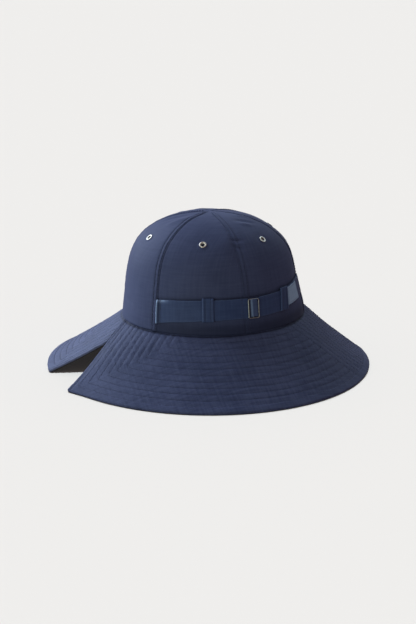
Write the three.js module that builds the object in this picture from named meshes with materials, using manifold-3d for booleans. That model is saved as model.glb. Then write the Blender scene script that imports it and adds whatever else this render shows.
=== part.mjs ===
// A soft six-panel sun hat with a wide stitched brim that is slit at both sides, standing on Z = 0.
// Millimetres, +Z up. The front of the hat faces -Y. Azimuths are degrees from the front, + towards +X.

import * as THREE from 'three';
import Module from 'manifold-3d';
import { mergeVertices } from 'three/addons/utils/BufferGeometryUtils.js';

const wasm = await Module();
wasm.setup();

// Head line, where the crown meets the brim
const HEAD = { halfWidth: 96.4, halfLength: 90.3, forward: 8.2, height: 56.9 };

// Where the head line is pushed up over one slit, and over how many degrees that fades
const HEAD_RISE = { azimuth: 86, spread: 20, rise: 5.5 };

// Crown above the head line: its height, how much the wall narrows, how square its shoulder is
const CROWN = { height: 106.5, taper: 0.00119, shoulder: 4.82, lean: 7.1, wall: 1.2, tip: 1.3 };

// Panels in order round the crown: the seam that each starts at, and where its eyelet is set
const PANELS = [
  { name: 'front_left', seam: -60, eyelet: -29 },
  { name: 'front_right', seam: 0, eyelet: 27 },
  { name: 'side_right', seam: 60, eyelet: 89 },
  { name: 'back_right', seam: 120, eyelet: 150 },
  { name: 'back_left', seam: 180, eyelet: 210 },
  { name: 'side_left', seam: 240, eyelet: 273 },
];
const PANEL_TURN = 60;
// Felled seams: the lap stands proud of the panel and narrows with it, and panels keep a gap between them
const SEAM = { lap: 4.6, rise: 0.5, step: 0.6, gap: 0.3, mostLap: 0.3, mostStep: 0.05 };

// Outer edge of the brim, its two cloth layers measured upright, and the level land it stands on
const RIM = { halfWidth: 171.7, front: 170.7, back: 170.7, widestAt: 4.6, land: 4 };
const LAYER = 1.3;
const GAP = 0.3;
const BRIM_RUN = RIM.halfWidth - HEAD.halfWidth;
const SLOPE_END = 1 - RIM.land / BRIM_RUN;

// How finely the cloth is faceted
const GRID = { panelRows: 11, panelColumns: 8, brimColumns: 34, flapColumns: 30 };
const PANEL_TOP_ROWS = [0.945, 0.98];
const BRIM_ROWS = [0, 0.15, 0.3, 0.47, 0.64, 0.8];

// Side slits: azimuth of the front brim's edge and of the neck flap's edge, and where the slit opens
const SLIT = { frontAtHead: 94.6, frontAtRim: 79.3, flapAtRim: 98.4, opens: 0.3, gap: 0.35, round: 1.6 };

// Soft dents and swells of the crown: place, size and how far each moves the cloth outwards
const SWELLS = [
  { azimuth: -2, height: 78, width: 9, tall: 15, depth: -2.2 },
  { azimuth: 14, height: 70, width: 16, tall: 26, depth: 1.0 },
  { azimuth: -112, height: 40, width: 34, tall: 60, depth: -0.9 },
  { azimuth: 66, height: 6, width: 40, tall: 16, depth: 1.6 },
  { azimuth: 68, height: 42, width: 30, tall: 22, depth: -2.2 },
  { azimuth: 78, height: 93, width: 36, tall: 14, depth: -2.6 },
];

// Strap across the two front panels: heights of its edges above the head line
const STRAP_EDGES = [
  { azimuth: -59.2, bottom: 8.8, top: 32.2 },
  { azimuth: -56, bottom: 9.8, top: 32.5 },
  { azimuth: -50, bottom: 11.6, top: 33.2 },
  { azimuth: -40, bottom: 13.0, top: 33.9 },
  { azimuth: -29, bottom: 14.6, top: 34.6 },
  { azimuth: -10, bottom: 15.6, top: 35.2 },
  { azimuth: 10, bottom: 15.8, top: 35.3 },
  { azimuth: 24, bottom: 16.4, top: 36.0 },
  { azimuth: 35, bottom: 18.4, top: 37.8 },
  { azimuth: 47, bottom: 21.0, top: 40.3 },
  { azimuth: 59.2, bottom: 22.8, top: 42.0 },
];
const STRAP = { clear: 0.8, thick: 1.0, step: 4.2, columns: 12 };

// Slide buckle: wire frame with a centre bar that the strap climbs over
const BUCKLE = { azimuth: 3.2, width: 13.5, tall: 20.4, wire: 1.3, barDrop: 1.0 };
const CLIMB = { top: 1.1, foot: 5.1, lift: 1.9, narrow: 1.3, narrowFrom: 7.6 };

// Keeper loops over the strap, sewn to the crown above and below it
const KEEPERS = [
  { name: 'keeper_left', azimuth: -25.2, width: 11.2, skew: 0 },
  { name: 'keeper_right', azimuth: 30.3, width: 11.8, skew: 0.13 },
];
const KEEPER = { reach: 2.4, leg: 1.2, thick: 1.1, clear: 0.3, bevel: 0.4 };

// Bare label patch on the strap
const PATCH = { from: 34.4, to: 47.2, skew: 0.13, inset: 0.4, thick: 1.0 };

// Eyelets, one in each panel near the shoulder
const EYELET = { height: 85.3, hole: 2.1, barrel: 2.6, flange: 4.0, clearance: 0.3, lip: 0.7, sides: 12 };

const radians = THREE.MathUtils.degToRad;
const mix = THREE.MathUtils.lerp;

// Finishes
const cloth = (color, roughness) => new THREE.MeshStandardMaterial({ color, roughness, metalness: 0 });
const NAVY_TWILL = cloth(0x353c52, 0.72);
const CHARCOAL_LINING = cloth(0x2c2c30, 0.9);
const NAVY_RIBBON = cloth(0x27304a, 0.5);
const SLATE_PATCH = cloth(0x545e70, 0.6);
const NICKEL = new THREE.MeshStandardMaterial({ color: 0xc4c6c8, roughness: 0.25, metalness: 1 });

function bell(distance, width) {
  return Math.exp(-((distance / width) ** 2));
}

// Degrees from one azimuth to another, the short way round
function turnBetween(from, to) {
  return THREE.MathUtils.euclideanModulo(to - from + 180, 360) - 180;
}

function headLine(azimuth) {
  return HEAD.height + HEAD_RISE.rise * bell(turnBetween(HEAD_RISE.azimuth, azimuth), HEAD_RISE.spread);
}

// Outward movement of the crown's cloth at one azimuth and height
function swellAt(azimuth, height) {
  let sum = 0;
  for (const swell of SWELLS) {
    const across = radians(turnBetween(swell.azimuth, azimuth)) * HEAD.halfWidth;
    sum += swell.depth * bell(across, swell.width) * bell(height - swell.height, swell.tall);
  }
  return sum;
}

// Bare crown surface, where climb runs evenly up the wall from 0 at the head line to 1 at the apex
function crownSurface(azimuth, climb) {
  const angle = (Math.PI / 2) * climb ** (CROWN.shoulder / 2);
  const height = CROWN.height * Math.sin(angle) ** (2 / CROWN.shoulder);
  const spread = (1 - CROWN.taper * height) * Math.cos(angle);
  const swell = swellAt(azimuth, height) * Math.cos(angle);
  const side = Math.sin(radians(azimuth));
  const front = Math.cos(radians(azimuth));
  const x = (HEAD.halfWidth * spread + swell) * side;
  const y = -(HEAD.halfLength * spread + swell) * front - HEAD.forward + CROWN.lean * (height / CROWN.height);
  const foot = mix(headLine(azimuth), HEAD.height, height / CROWN.height);
  return new THREE.Vector3(x, y, foot + height);
}

function crownNormal(azimuth, climb) {
  const step = 0.004;
  const turn = 0.5;
  const low = crownSurface(azimuth, Math.max(climb - step, 0));
  const high = crownSurface(azimuth, Math.min(climb + step, 1 - step / 4));
  const left = crownSurface(azimuth - turn, climb);
  const right = crownSurface(azimuth + turn, climb);
  return right.sub(left).cross(high.sub(low)).normalize();
}

// Point at a distance outside the crown's cloth, never below the head line
function crownPoint(azimuth, climb, outside) {
  const point = crownSurface(azimuth, climb).addScaledVector(crownNormal(azimuth, climb), outside);
  point.z = Math.max(point.z, headLine(azimuth));
  return point;
}

// Climb that belongs to a height above the head line
function climbAt(height) {
  const angle = Math.asin((height / CROWN.height) ** (CROWN.shoulder / 2));
  return (angle / (Math.PI / 2)) ** (2 / CROWN.shoulder);
}

// Distance of the crown's wall from its axis, and the climb where the wall comes that near
function reachAt(climb) {
  return Math.max(HEAD.halfWidth * Math.cos((Math.PI / 2) * climb ** (CROWN.shoulder / 2)), CROWN.tip);
}

function climbAtReach(reach) {
  return (Math.acos(reach / HEAD.halfWidth) / (Math.PI / 2)) ** (2 / CROWN.shoulder);
}

// Brim surface between the head line (across = 0) and the rim (across = 1), at a depth under its top
function brimPoint(azimuth, across, depth) {
  const side = Math.sin(radians(azimuth));
  const front = Math.cos(radians(azimuth));
  const x = mix(HEAD.halfWidth, RIM.halfWidth, across) * side;
  const yHead = -HEAD.halfLength * front - HEAD.forward;
  const yRim = RIM.widestAt - front * (front > 0 ? RIM.front + RIM.widestAt : RIM.back - RIM.widestAt);
  const thickness = 2 * LAYER + GAP;
  const drop = THREE.MathUtils.clamp(across / SLOPE_END, 0, 1);
  const top = mix(headLine(azimuth) - GAP, thickness, drop);
  return new THREE.Vector3(x, mix(yHead, yRim, across), top - depth);
}

// Closed wall between two sheets on one grid, joined round their border
function wall(columns, rows, front, back) {
  const points = [];
  for (const sheet of [front, back]) {
    for (const row of rows) {
      for (const column of columns) {
        points.push(...sheet(column, row).toArray());
      }
    }
  }
  const wide = columns.length;
  const high = rows.length;
  const at = (sheet, row, column) => (sheet * high + row) * wide + column;
  const index = [];
  const quad = (a, b, c, d) => index.push(a, b, c, a, c, d);
  for (let row = 0; row < high - 1; row += 1) {
    for (let column = 0; column < wide - 1; column += 1) {
      quad(at(0, row, column), at(0, row, column + 1), at(0, row + 1, column + 1), at(0, row + 1, column));
      quad(at(1, row, column), at(1, row + 1, column), at(1, row + 1, column + 1), at(1, row, column + 1));
    }
  }
  for (let column = 0; column < wide - 1; column += 1) {
    const last = high - 1;
    quad(at(0, 0, column + 1), at(0, 0, column), at(1, 0, column), at(1, 0, column + 1));
    quad(at(0, last, column), at(0, last, column + 1), at(1, last, column + 1), at(1, last, column));
  }
  for (let row = 0; row < high - 1; row += 1) {
    const last = wide - 1;
    quad(at(0, row, 0), at(0, row + 1, 0), at(1, row + 1, 0), at(1, row, 0));
    quad(at(0, row + 1, last), at(0, row, last), at(1, row, last), at(1, row + 1, last));
  }
  return body(points, index);
}

// Geometry of one closed body from its points and triangles
function body(points, index) {
  const geometry = new THREE.BufferGeometry();
  geometry.setAttribute('position', new THREE.Float32BufferAttribute(points, 3));
  geometry.setIndex(index);
  return geometry;
}

// Closed bar: one outline of points at each station, capped at both ends
function sweep(stations, outline) {
  const loops = stations.map((station) => outline(station));
  const count = loops[0].length;
  const points = loops.flat().flatMap((entry) => entry.point.toArray());
  const index = [];
  for (let s = 0; s < loops.length - 1; s += 1) {
    for (let i = 0; i < count; i += 1) {
      const j = (i + 1) % count;
      const here = s * count;
      const next = here + count;
      index.push(here + i, here + j, next + j, here + i, next + j, next + i);
    }
  }
  const flat = loops[0].map((entry) => entry.flat);
  const last = (loops.length - 1) * count;
  for (const [a, b, c] of THREE.ShapeUtils.triangulateShape(flat, [])) {
    index.push(a, c, b, last + a, last + b, last + c);
  }
  return body(points, index);
}

// Solids for cutting and joining
function toSolid(geometry) {
  const bare = geometry.clone();
  bare.deleteAttribute('normal');
  bare.deleteAttribute('uv');
  const merged = mergeVertices(bare, 1e-4);
  const mesh = new wasm.Mesh({
    numProp: 3,
    vertProperties: new Float32Array(merged.attributes.position.array),
    triVerts: new Uint32Array(merged.index.array),
  });
  return new wasm.Manifold(mesh);
}

function toGeometry(solid) {
  const mesh = solid.getMesh();
  return body(Array.from(mesh.vertProperties), Array.from(mesh.triVerts));
}

function named(name, geometry, material) {
  const mesh = new THREE.Mesh(geometry, material);
  mesh.name = name;
  return mesh;
}

// Even steps from one value to another
function steps(from, to, count) {
  return Array.from({ length: count + 1 }, (_, i) => mix(from, to, i / count));
}

// Where an eyelet sits on the crown
function eyeletSeat(azimuth) {
  const climb = climbAt(EYELET.height);
  const seat = new THREE.Group();
  seat.position.copy(crownSurface(azimuth, climb));
  seat.quaternion.setFromUnitVectors(new THREE.Vector3(0, 1, 0), crownNormal(azimuth, climb));
  seat.updateMatrix();
  return seat;
}

// One crown panel from its lapped seam to the next seam, with its eyelet hole cut through
function crownPanel(seam, eyelet) {
  const lapColumns = [
    { lap: 0, raise: SEAM.rise },
    { lap: 1, raise: SEAM.rise },
    { lap: 1, past: SEAM.step, raise: 0 },
  ];
  const plainColumns = steps(0, 1, GRID.panelColumns).slice(1).map((share) => ({ share, raise: 0 }));
  const columns = [...lapColumns, ...plainColumns];
  const azimuthAt = (column, climb) => {
    const reach = reachAt(climb);
    const width = reach * radians(PANEL_TURN);
    const lap = Math.min(SEAM.lap, width * SEAM.mostLap);
    const past = Math.min(SEAM.step, width * SEAM.mostStep);
    const start = SEAM.gap / 2;
    const lapEnd = start + lap + past;
    const distance = column.share === undefined
      ? start + lap * column.lap + (column.past ? past : 0)
      : mix(lapEnd, width - SEAM.gap / 2, column.share);
    return seam + THREE.MathUtils.radToDeg((distance - lap / 2) / reach);
  };
  const rows = [...steps(0, 0.9, GRID.panelRows), ...PANEL_TOP_ROWS, climbAtReach(CROWN.tip)];
  const outside = (column, climb) => crownPoint(azimuthAt(column, climb), climb, column.raise);
  const inside = (column, climb) => crownPoint(azimuthAt(column, climb), climb, -CROWN.wall);
  const holeRadius = EYELET.barrel + EYELET.clearance;
  const cutter = new THREE.CylinderGeometry(holeRadius, holeRadius, EYELET.flange * 2, EYELET.sides);
  cutter.applyMatrix4(eyeletSeat(eyelet).matrix);
  return toGeometry(toSolid(wall(columns, rows, outside, inside)).subtract(toSolid(cutter)));
}

// Rolled eyelet: outer flange, barrel through the cloth and inner flange
function eyeletRing() {
  const { hole, barrel, flange, clearance, lip } = EYELET;
  const under = -CROWN.wall - 2 * clearance;
  const profile = [
    [hole, clearance + lip],
    [flange - lip, clearance + lip],
    [flange, clearance + lip / 2],
    [flange, clearance],
    [barrel, clearance],
    [barrel, under],
    [flange - clearance, under],
    [flange - clearance, under - lip],
    [hole, under - lip],
  ];
  const closed = [...profile, profile[0]].map(([radius, level]) => new THREE.Vector2(radius, level));
  return new THREE.LatheGeometry(closed.reverse(), EYELET.sides);
}

// Azimuth of a slit's edge on its straight way between two places on the brim
function slitEdge(across, fromAcross, fromAzimuth, toAzimuth) {
  const share = (across - fromAcross) / (1 - fromAcross);
  const fromRadius = mix(HEAD.halfWidth, RIM.halfWidth, fromAcross) * (1 - share);
  const toRadius = RIM.halfWidth * share;
  return (fromRadius * fromAzimuth + toRadius * toAzimuth) / (fromRadius + toRadius);
}

function frontEdge(across) {
  return slitEdge(Math.max(across, 0), 0, SLIT.frontAtHead, SLIT.frontAtRim);
}

function flapEdge(across) {
  const radius = mix(HEAD.halfWidth, RIM.halfWidth, across);
  const beside = frontEdge(across) + THREE.MathUtils.radToDeg(SLIT.gap / radius);
  if (across <= SLIT.opens) {
    return beside;
  }
  return slitEdge(across, SLIT.opens, flapEdge(SLIT.opens), SLIT.flapAtRim);
}

// The front brim and the neck flap behind the slits: the azimuth of each middle and of its edges
const BRIM_PARTS = [
  { name: 'brim_front', middle: 0, edgeAt: frontEdge, columns: GRID.brimColumns },
  { name: 'brim_flap', middle: 180, edgeAt: flapEdge, columns: GRID.flapColumns },
];

// One layer of a brim part, starting at a depth under the top
function brimLayer(columns, edgeAt, middle, depth) {
  const rows = [-CROWN.wall / BRIM_RUN, ...BRIM_ROWS, SLOPE_END, 1];
  const azimuthAt = (share, across) => {
    const corner = across === 1 ? SLIT.round : 0;
    const half = middle === 0 ? edgeAt(across) - corner : 180 - edgeAt(across) - corner;
    return middle + half * share;
  };
  const top = (share, across) => brimPoint(azimuthAt(share, across), across, depth);
  const bottom = (share, across) => brimPoint(azimuthAt(share, across), across, depth + LAYER);
  return wall(steps(1, -1, columns), rows, top, bottom);
}

// Strap edges at an azimuth, read between the rows of the table
function strapEdges(azimuth) {
  const next = Math.max(STRAP_EDGES.findIndex((row) => row.azimuth >= azimuth), 1);
  const a = STRAP_EDGES[next - 1];
  const b = STRAP_EDGES[next];
  const share = (azimuth - a.azimuth) / (b.azimuth - a.azimuth);
  return { bottom: mix(a.bottom, b.bottom, share), top: mix(a.top, b.top, share) };
}

function alongStrap(azimuth) {
  return radians(azimuth - BUCKLE.azimuth) * HEAD.halfLength;
}

function strapPiece() {
  const degrees = (millimetres) => THREE.MathUtils.radToDeg(millimetres / HEAD.halfLength);
  const nearBuckle = [CLIMB.top, CLIMB.foot, CLIMB.narrowFrom];
  const stops = [...nearBuckle.map((d) => -d).reverse(), ...nearBuckle];
  const climbing = stops.map((d) => BUCKLE.azimuth + degrees(d));
  const first = STRAP_EDGES[0].azimuth;
  const last = STRAP_EDGES.at(-1).azimuth;
  const before = steps(first, climbing[0] - STRAP.step / 2, STRAP.columns);
  const after = steps(climbing.at(-1) + STRAP.step / 2, last, STRAP.columns);
  const shape = (azimuth, share, outside) => {
    const distance = Math.abs(alongStrap(azimuth));
    const lift = CLIMB.lift * THREE.MathUtils.clamp((CLIMB.foot - distance) / (CLIMB.foot - CLIMB.top), 0, 1);
    const narrow = CLIMB.narrow
      * THREE.MathUtils.clamp((CLIMB.narrowFrom - distance) / (CLIMB.narrowFrom - CLIMB.foot), 0, 1);
    const edges = strapEdges(azimuth);
    const height = mix(edges.bottom + narrow, edges.top - narrow, share);
    return crownPoint(azimuth, climbAt(height), STRAP.clear + lift + outside);
  };
  const outer = (azimuth, share) => shape(azimuth, share, STRAP.thick);
  const inner = (azimuth, share) => shape(azimuth, share, 0);
  return wall([...before, ...climbing, ...after], steps(0, 1, 2), outer, inner);
}

// Slide buckle, built flat and then set against the strap
function buckleFrame() {
  const { width, tall, wire, barDrop } = BUCKLE;
  const outline = new THREE.Shape();
  outline.moveTo(-width / 2, -tall / 2);
  outline.lineTo(width / 2, -tall / 2);
  outline.lineTo(width / 2, tall / 2);
  outline.lineTo(-width / 2, tall / 2);
  const opening = new THREE.Path();
  opening.moveTo(-width / 2 + wire, -tall / 2 + wire);
  opening.lineTo(-width / 2 + wire, tall / 2 - wire);
  opening.lineTo(width / 2 - wire, tall / 2 - wire);
  opening.lineTo(width / 2 - wire, -tall / 2 + wire);
  outline.holes.push(opening);
  const frame = new THREE.ExtrudeGeometry(outline, { depth: wire, bevelEnabled: false });
  const centreBar = new THREE.BoxGeometry(wire, tall - wire, wire).translate(0, 0, wire / 2 - barDrop);
  return toGeometry(toSolid(frame).add(toSolid(centreBar)));
}

function placeBuckle(mesh) {
  const edges = strapEdges(BUCKLE.azimuth);
  const climb = climbAt((edges.bottom + edges.top) / 2);
  const normal = crownNormal(BUCKLE.azimuth, climb);
  const along = new THREE.Vector3(Math.cos(radians(BUCKLE.azimuth)), Math.sin(radians(BUCKLE.azimuth)), 0);
  const up = normal.clone().cross(along).normalize();
  const across = up.clone().cross(normal);
  mesh.quaternion.setFromRotationMatrix(new THREE.Matrix4().makeBasis(across, up, normal));
  mesh.position.copy(crownPoint(BUCKLE.azimuth, climb, STRAP.clear + STRAP.thick + GAP));
  return mesh;
}

// Keeper loop: an arch over the strap with its feet against the crown
function keeperLoop({ azimuth, width, skew }) {
  const edges = strapEdges(azimuth);
  const low = edges.bottom - KEEPER.reach;
  const high = edges.top + KEEPER.reach;
  const inner = STRAP.clear + STRAP.thick + KEEPER.clear;
  const outer = inner + KEEPER.thick;
  const outline = [
    [low, KEEPER.clear],
    [low + KEEPER.leg, KEEPER.clear],
    [low + KEEPER.leg, inner],
    [high - KEEPER.leg, inner],
    [high - KEEPER.leg, KEEPER.clear],
    [high, KEEPER.clear],
    [high, outer - KEEPER.bevel],
    [high - KEEPER.bevel, outer],
    [low + KEEPER.bevel, outer],
    [low, outer - KEEPER.bevel],
  ];
  const middle = (low + high) / 2;
  const half = THREE.MathUtils.radToDeg(width / 2 / HEAD.halfLength);
  return sweep([-half, 0, half], (offset) => outline.map(([height, outside]) => ({
    point: crownPoint(azimuth + offset + skew * (height - middle), climbAt(height), outside),
    flat: new THREE.Vector2(height, outside),
  })));
}

function labelPatch() {
  const level = STRAP.clear + STRAP.thick + GAP;
  const place = (azimuth, share, outside) => {
    const edges = strapEdges(azimuth);
    const height = mix(edges.bottom + PATCH.inset, edges.top - PATCH.inset, share);
    const leaning = azimuth + PATCH.skew * (height - (edges.bottom + edges.top) / 2);
    return crownPoint(leaning, climbAt(height), outside);
  };
  const outer = (azimuth, share) => place(azimuth, share, level + PATCH.thick);
  const inner = (azimuth, share) => place(azimuth, share, level);
  return wall(steps(PATCH.from, PATCH.to, 4), steps(0, 1, 2), outer, inner);
}

// The hat
const group = new THREE.Group();
for (const { name, seam, eyelet } of PANELS) {
  group.add(named(`crown_panel_${name}`, crownPanel(seam, eyelet), NAVY_TWILL));
  const seat = eyeletSeat(eyelet);
  seat.add(named(`eyelet_${name}`, eyeletRing(), NICKEL));
  group.add(seat);
}
for (const { name, middle, edgeAt, columns } of BRIM_PARTS) {
  group.add(named(name, brimLayer(columns, edgeAt, middle, 0), NAVY_TWILL));
  group.add(named(`${name}_facing`, brimLayer(columns, edgeAt, middle, LAYER + GAP), CHARCOAL_LINING));
}
group.add(named('strap', strapPiece(), NAVY_RIBBON));
group.add(placeBuckle(named('buckle', buckleFrame(), NICKEL)));
for (const keeper of KEEPERS) {
  group.add(named(keeper.name, keeperLoop(keeper), NAVY_RIBBON));
}
group.add(named('label_patch', labelPatch(), SLATE_PATCH));

export default group;
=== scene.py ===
# %% [markdown]
# # A wide-brim sun hat, dressed piece by piece
# The hat is a soft navy one with six crown panels, a quilted brim that is slit at both sides, and a
# ribbon strap with a slide buckle. The solids already give every piece its size and place. This lesson
# builds the cloth that one sees: folds, felled seams, rows of stitches, weave and metal. Everything is
# worked out in millimetres and turned to metres in one place, because Blender's unit is the metre.

# %% Load the solids
import math
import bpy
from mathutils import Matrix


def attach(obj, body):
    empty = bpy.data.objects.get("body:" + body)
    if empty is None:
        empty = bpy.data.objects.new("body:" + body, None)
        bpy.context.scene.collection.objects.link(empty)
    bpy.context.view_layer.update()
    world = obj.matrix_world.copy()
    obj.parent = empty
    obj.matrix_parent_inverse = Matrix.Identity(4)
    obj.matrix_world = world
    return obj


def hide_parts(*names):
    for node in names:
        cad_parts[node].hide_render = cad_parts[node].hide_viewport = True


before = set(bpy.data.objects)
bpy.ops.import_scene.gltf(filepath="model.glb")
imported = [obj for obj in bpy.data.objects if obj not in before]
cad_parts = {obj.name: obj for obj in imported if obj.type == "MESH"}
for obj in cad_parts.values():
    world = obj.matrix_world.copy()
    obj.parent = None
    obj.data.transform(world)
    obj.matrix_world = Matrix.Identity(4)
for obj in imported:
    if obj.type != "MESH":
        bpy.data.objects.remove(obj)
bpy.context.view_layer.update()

from types import SimpleNamespace as Sizes

import bmesh
import bpy
import numpy as np
from mathutils import Vector

MM = 0.001

# %% [markdown]
# ## The camera
# A product photo is taken with a long lens from a little above, so that upright lines stay upright and
# the round brim reads as a flat ellipse. The camera looks at a point inside the hat from a distance of
# 1.3 m. Its three axes are worked out from two angles, which is easier to reason about than Euler angles.

# %% Camera at the photo's angle
EYE = Sizes(azimuth=-24.0, elevation=15.75, distance=1326.0, aim=(-4.37, -6.25, 56.2))
PICTURE = Sizes(height=624, focal=1258.1, sensor=36.0)


def direction(azimuth, elevation):
    """Unit vector from the hat's middle towards an azimuth and a height above the horizon."""
    turn, rise = math.radians(azimuth), math.radians(elevation)
    return Vector((math.sin(turn) * math.cos(rise), -math.cos(turn) * math.cos(rise), math.sin(rise)))


def aimed(obj, towards_viewer, aim, distance):
    """Places an object at a distance from a point and turns its -Z axis to that point."""
    obj.location = (Vector(aim) + towards_viewer * distance) * MM
    obj.rotation_mode = "QUATERNION"
    obj.rotation_quaternion = (-towards_viewer).to_track_quat("-Z", "Y")


lens = bpy.data.cameras.new("camera")
lens.sensor_fit = "AUTO"
lens.sensor_width = PICTURE.sensor
lens.lens = PICTURE.sensor * PICTURE.focal / PICTURE.height
lens.clip_start = 0.05
lens.clip_end = 100.0
camera = bpy.data.objects.new("camera", lens)
bpy.context.scene.collection.objects.link(camera)
bpy.context.scene.camera = camera
aimed(camera, direction(EYE.azimuth, EYE.elevation), EYE.aim, EYE.distance)
print("camera lens in mm:", round(lens.lens, 2))

# %% [markdown]
# ## Colours and nodes
# A colour picked from a screen is an sRGB value, but shaders work with linear light, so one function
# converts every hex value. A second small function adds a shader node with its settings and its links,
# which keeps each material short enough to read like a recipe.

# %% Colour and node helpers


def linear(hex_colour):
    """Linear colour with alpha from an sRGB hex string."""
    shares = [int(hex_colour[i:i + 2], 16) / 255 for i in (1, 3, 5)]
    return [v / 12.92 if v <= 0.04045 else ((v + 0.055) / 1.055) ** 2.4 for v in shares] + [1.0]


def add_node(tree, kind, values=None, links=None, **settings):
    """A new node with its settings, the values of its sockets and the links that feed it."""
    made = tree.nodes.new(kind)
    for name, value in settings.items():
        setattr(made, name, value)
    for socket, value in (values or {}).items():
        made.inputs[socket].default_value = value
    for socket, source in (links or {}).items():
        tree.links.new(source, made.inputs[socket])
    return made


def new_material(name):
    """An empty material with its node tree and the surface shader in place."""
    material = bpy.data.materials.new(name)
    material.use_nodes = True
    tree = material.node_tree
    tree.nodes.clear()
    shader = add_node(tree, "ShaderNodeBsdfPrincipled")
    add_node(tree, "ShaderNodeOutputMaterial", links={"Surface": shader.outputs["BSDF"]})
    return material, tree, shader


print("navy in linear light:", [round(v, 3) for v in linear("#3a4260")[:3]])

# %% [markdown]
# ## Floor, backdrop and lights
# The photo has a seamless pale sweep without a cast shadow, yet the floor that shows through the slit
# is nearly black. That is how a floor looks under one high lamp beside the camera: its light stays out
# of the hat, and the shadow falls behind it. So one lamp is kept to the floor and the others are kept
# off it, which studios do with black flags and Blender does with light linking. The hat itself is lit by
# a large soft box from behind on the left and two weaker ones, and a dome closes the horizon.

# %% Floor and backdrop
STUDIO_TONE = "#efeeec"
FLOOR = Sizes(radius=18.0, white=0.80, lamp=3.70, glow=0.019)


def studio_material(name, glow, white):
    """Backdrop paper, either plain and matt or glowing by itself."""
    material, _, shader = new_material(name)
    shader.inputs["Base Color"].default_value = [white * v for v in linear(STUDIO_TONE)[:3]] + [1.0]
    shader.inputs["Roughness"].default_value = 1.0
    shader.inputs["Specular IOR Level"].default_value = 0.0
    shader.inputs["Emission Color"].default_value = linear(STUDIO_TONE)
    shader.inputs["Emission Strength"].default_value = glow
    return material


def stage_object(name, build, material):
    """A mesh of the studio, which only the camera sees."""
    mesh = bpy.data.meshes.new(name)
    shape = bmesh.new()
    build(shape)
    shape.to_mesh(mesh)
    shape.free()
    mesh.materials.append(material)
    obj = bpy.data.objects.new(name, mesh)
    bpy.context.scene.collection.objects.link(obj)
    obj.visible_diffuse = False
    obj.visible_glossy = False
    obj.visible_shadow = False
    return obj


def floor_disc(shape):
    """One flat round face."""
    bmesh.ops.create_circle(shape, cap_ends=True, segments=64, radius=FLOOR.radius)


def dome_shell(shape):
    """A ball round the whole studio."""
    bmesh.ops.create_uvsphere(shape, u_segments=64, v_segments=32, radius=FLOOR.radius)


floor = stage_object("floor", floor_disc, studio_material("backdrop paper", FLOOR.glow, FLOOR.white))
stage_object("backdrop", dome_shell, studio_material("backdrop glow", 1.0, 0.0))
print("floor radius in m:", FLOOR.radius)

# %% Lights
SUNS = {
    "key_light": Sizes(azimuth=-146.0, elevation=28.0, strength=3.9, softness=60.0, tint="#e2f1ff"),
    "left_light": Sizes(azimuth=-66.0, elevation=5.0, strength=1.25, softness=60.0, tint="#f0ffe7"),
    "back_light": Sizes(azimuth=123.0, elevation=42.0, strength=0.76, softness=60.0, tint="#d1f2ff"),
}
AMBIENT = Sizes(tint="#ffe8e1", strength=0.28)


def soft_sun(name, sun, objects, state):
    """A soft lamp at a direction, which lights only these objects (INCLUDE) or all others (EXCLUDE)."""
    lamp = bpy.data.lights.new(name, "SUN")
    lamp.energy = sun.strength
    lamp.angle = math.radians(sun.softness)
    lamp.color = linear(sun.tint)[:3]
    light = bpy.data.objects.new(name, lamp)
    bpy.context.scene.collection.objects.link(light)
    aimed(light, direction(sun.azimuth, sun.elevation), EYE.aim, EYE.distance)
    group = bpy.data.collections.new(f"{name}_flags")
    for obj in objects:
        group.objects.link(obj)
    for entry in group.collection_objects:
        entry.light_linking.link_state = state
    light.light_linking.receiver_collection = group


for name, sun in SUNS.items():
    soft_sun(name, sun, [floor], "EXCLUDE")
soft_sun("floor_lamp", Sizes(azimuth=EYE.azimuth, elevation=60.0, strength=FLOOR.lamp, softness=4.0,
                             tint="#f7fdff"), [floor], "INCLUDE")

world = bpy.data.worlds.new("studio air")
bpy.context.scene.world = world
world.use_nodes = True
world.node_tree.nodes["Background"].inputs["Color"].default_value = linear(AMBIENT.tint)
world.node_tree.nodes["Background"].inputs["Strength"].default_value = AMBIENT.strength
bpy.context.scene.view_settings.view_transform = "Standard"
print("lights:", ", ".join(SUNS))

# %% [markdown]
# ## The laws of the shape
# Sewn cloth over no form settles into smooth shapes, so a few formulas describe the crown and the brim.
# The crown is a superellipse turned round an oval head line, and the brim is a cone cut from flat cloth.
# The same formulas place everything else on the hat, so that nothing has to be fitted by eye.

# %% Driving sizes in millimetres
# An azimuth is in degrees round the hat: 0 at its front, and rising towards the right of the picture.
HEAD = Sizes(half_width=96.4, half_length=90.3, forward=8.2, height=56.9)
HEAD_RISE = Sizes(azimuth=86, spread=20, rise=5.5)
CROWN = Sizes(height=106.5, taper=0.00119, shoulder=4.82, lean=7.1, wall=1.2)
RIM = Sizes(half_width=171.7, front=170.7, back=170.7, widest_at=4.6, top=2.35, sag=1.8, sag_low=1.3,
            flare=4.3)
LAYER = 1.3
GAP = 0.3
BRIM_THICK = 2 * LAYER + GAP
BRIM_RUN = RIM.half_width - HEAD.half_width
PANELS = {
    "front_left": Sizes(seam=-60, eyelet=-29),
    "front_right": Sizes(seam=0, eyelet=27),
    "side_right": Sizes(seam=60, eyelet=89),
    "back_right": Sizes(seam=120, eyelet=150),
    "back_left": Sizes(seam=180, eyelet=210),
    "side_left": Sizes(seam=240, eyelet=273),
}
PANEL_TURN = 60
FLATNESS = Sizes(depth=1.3, lift=0.3, foot=26.0)
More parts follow.
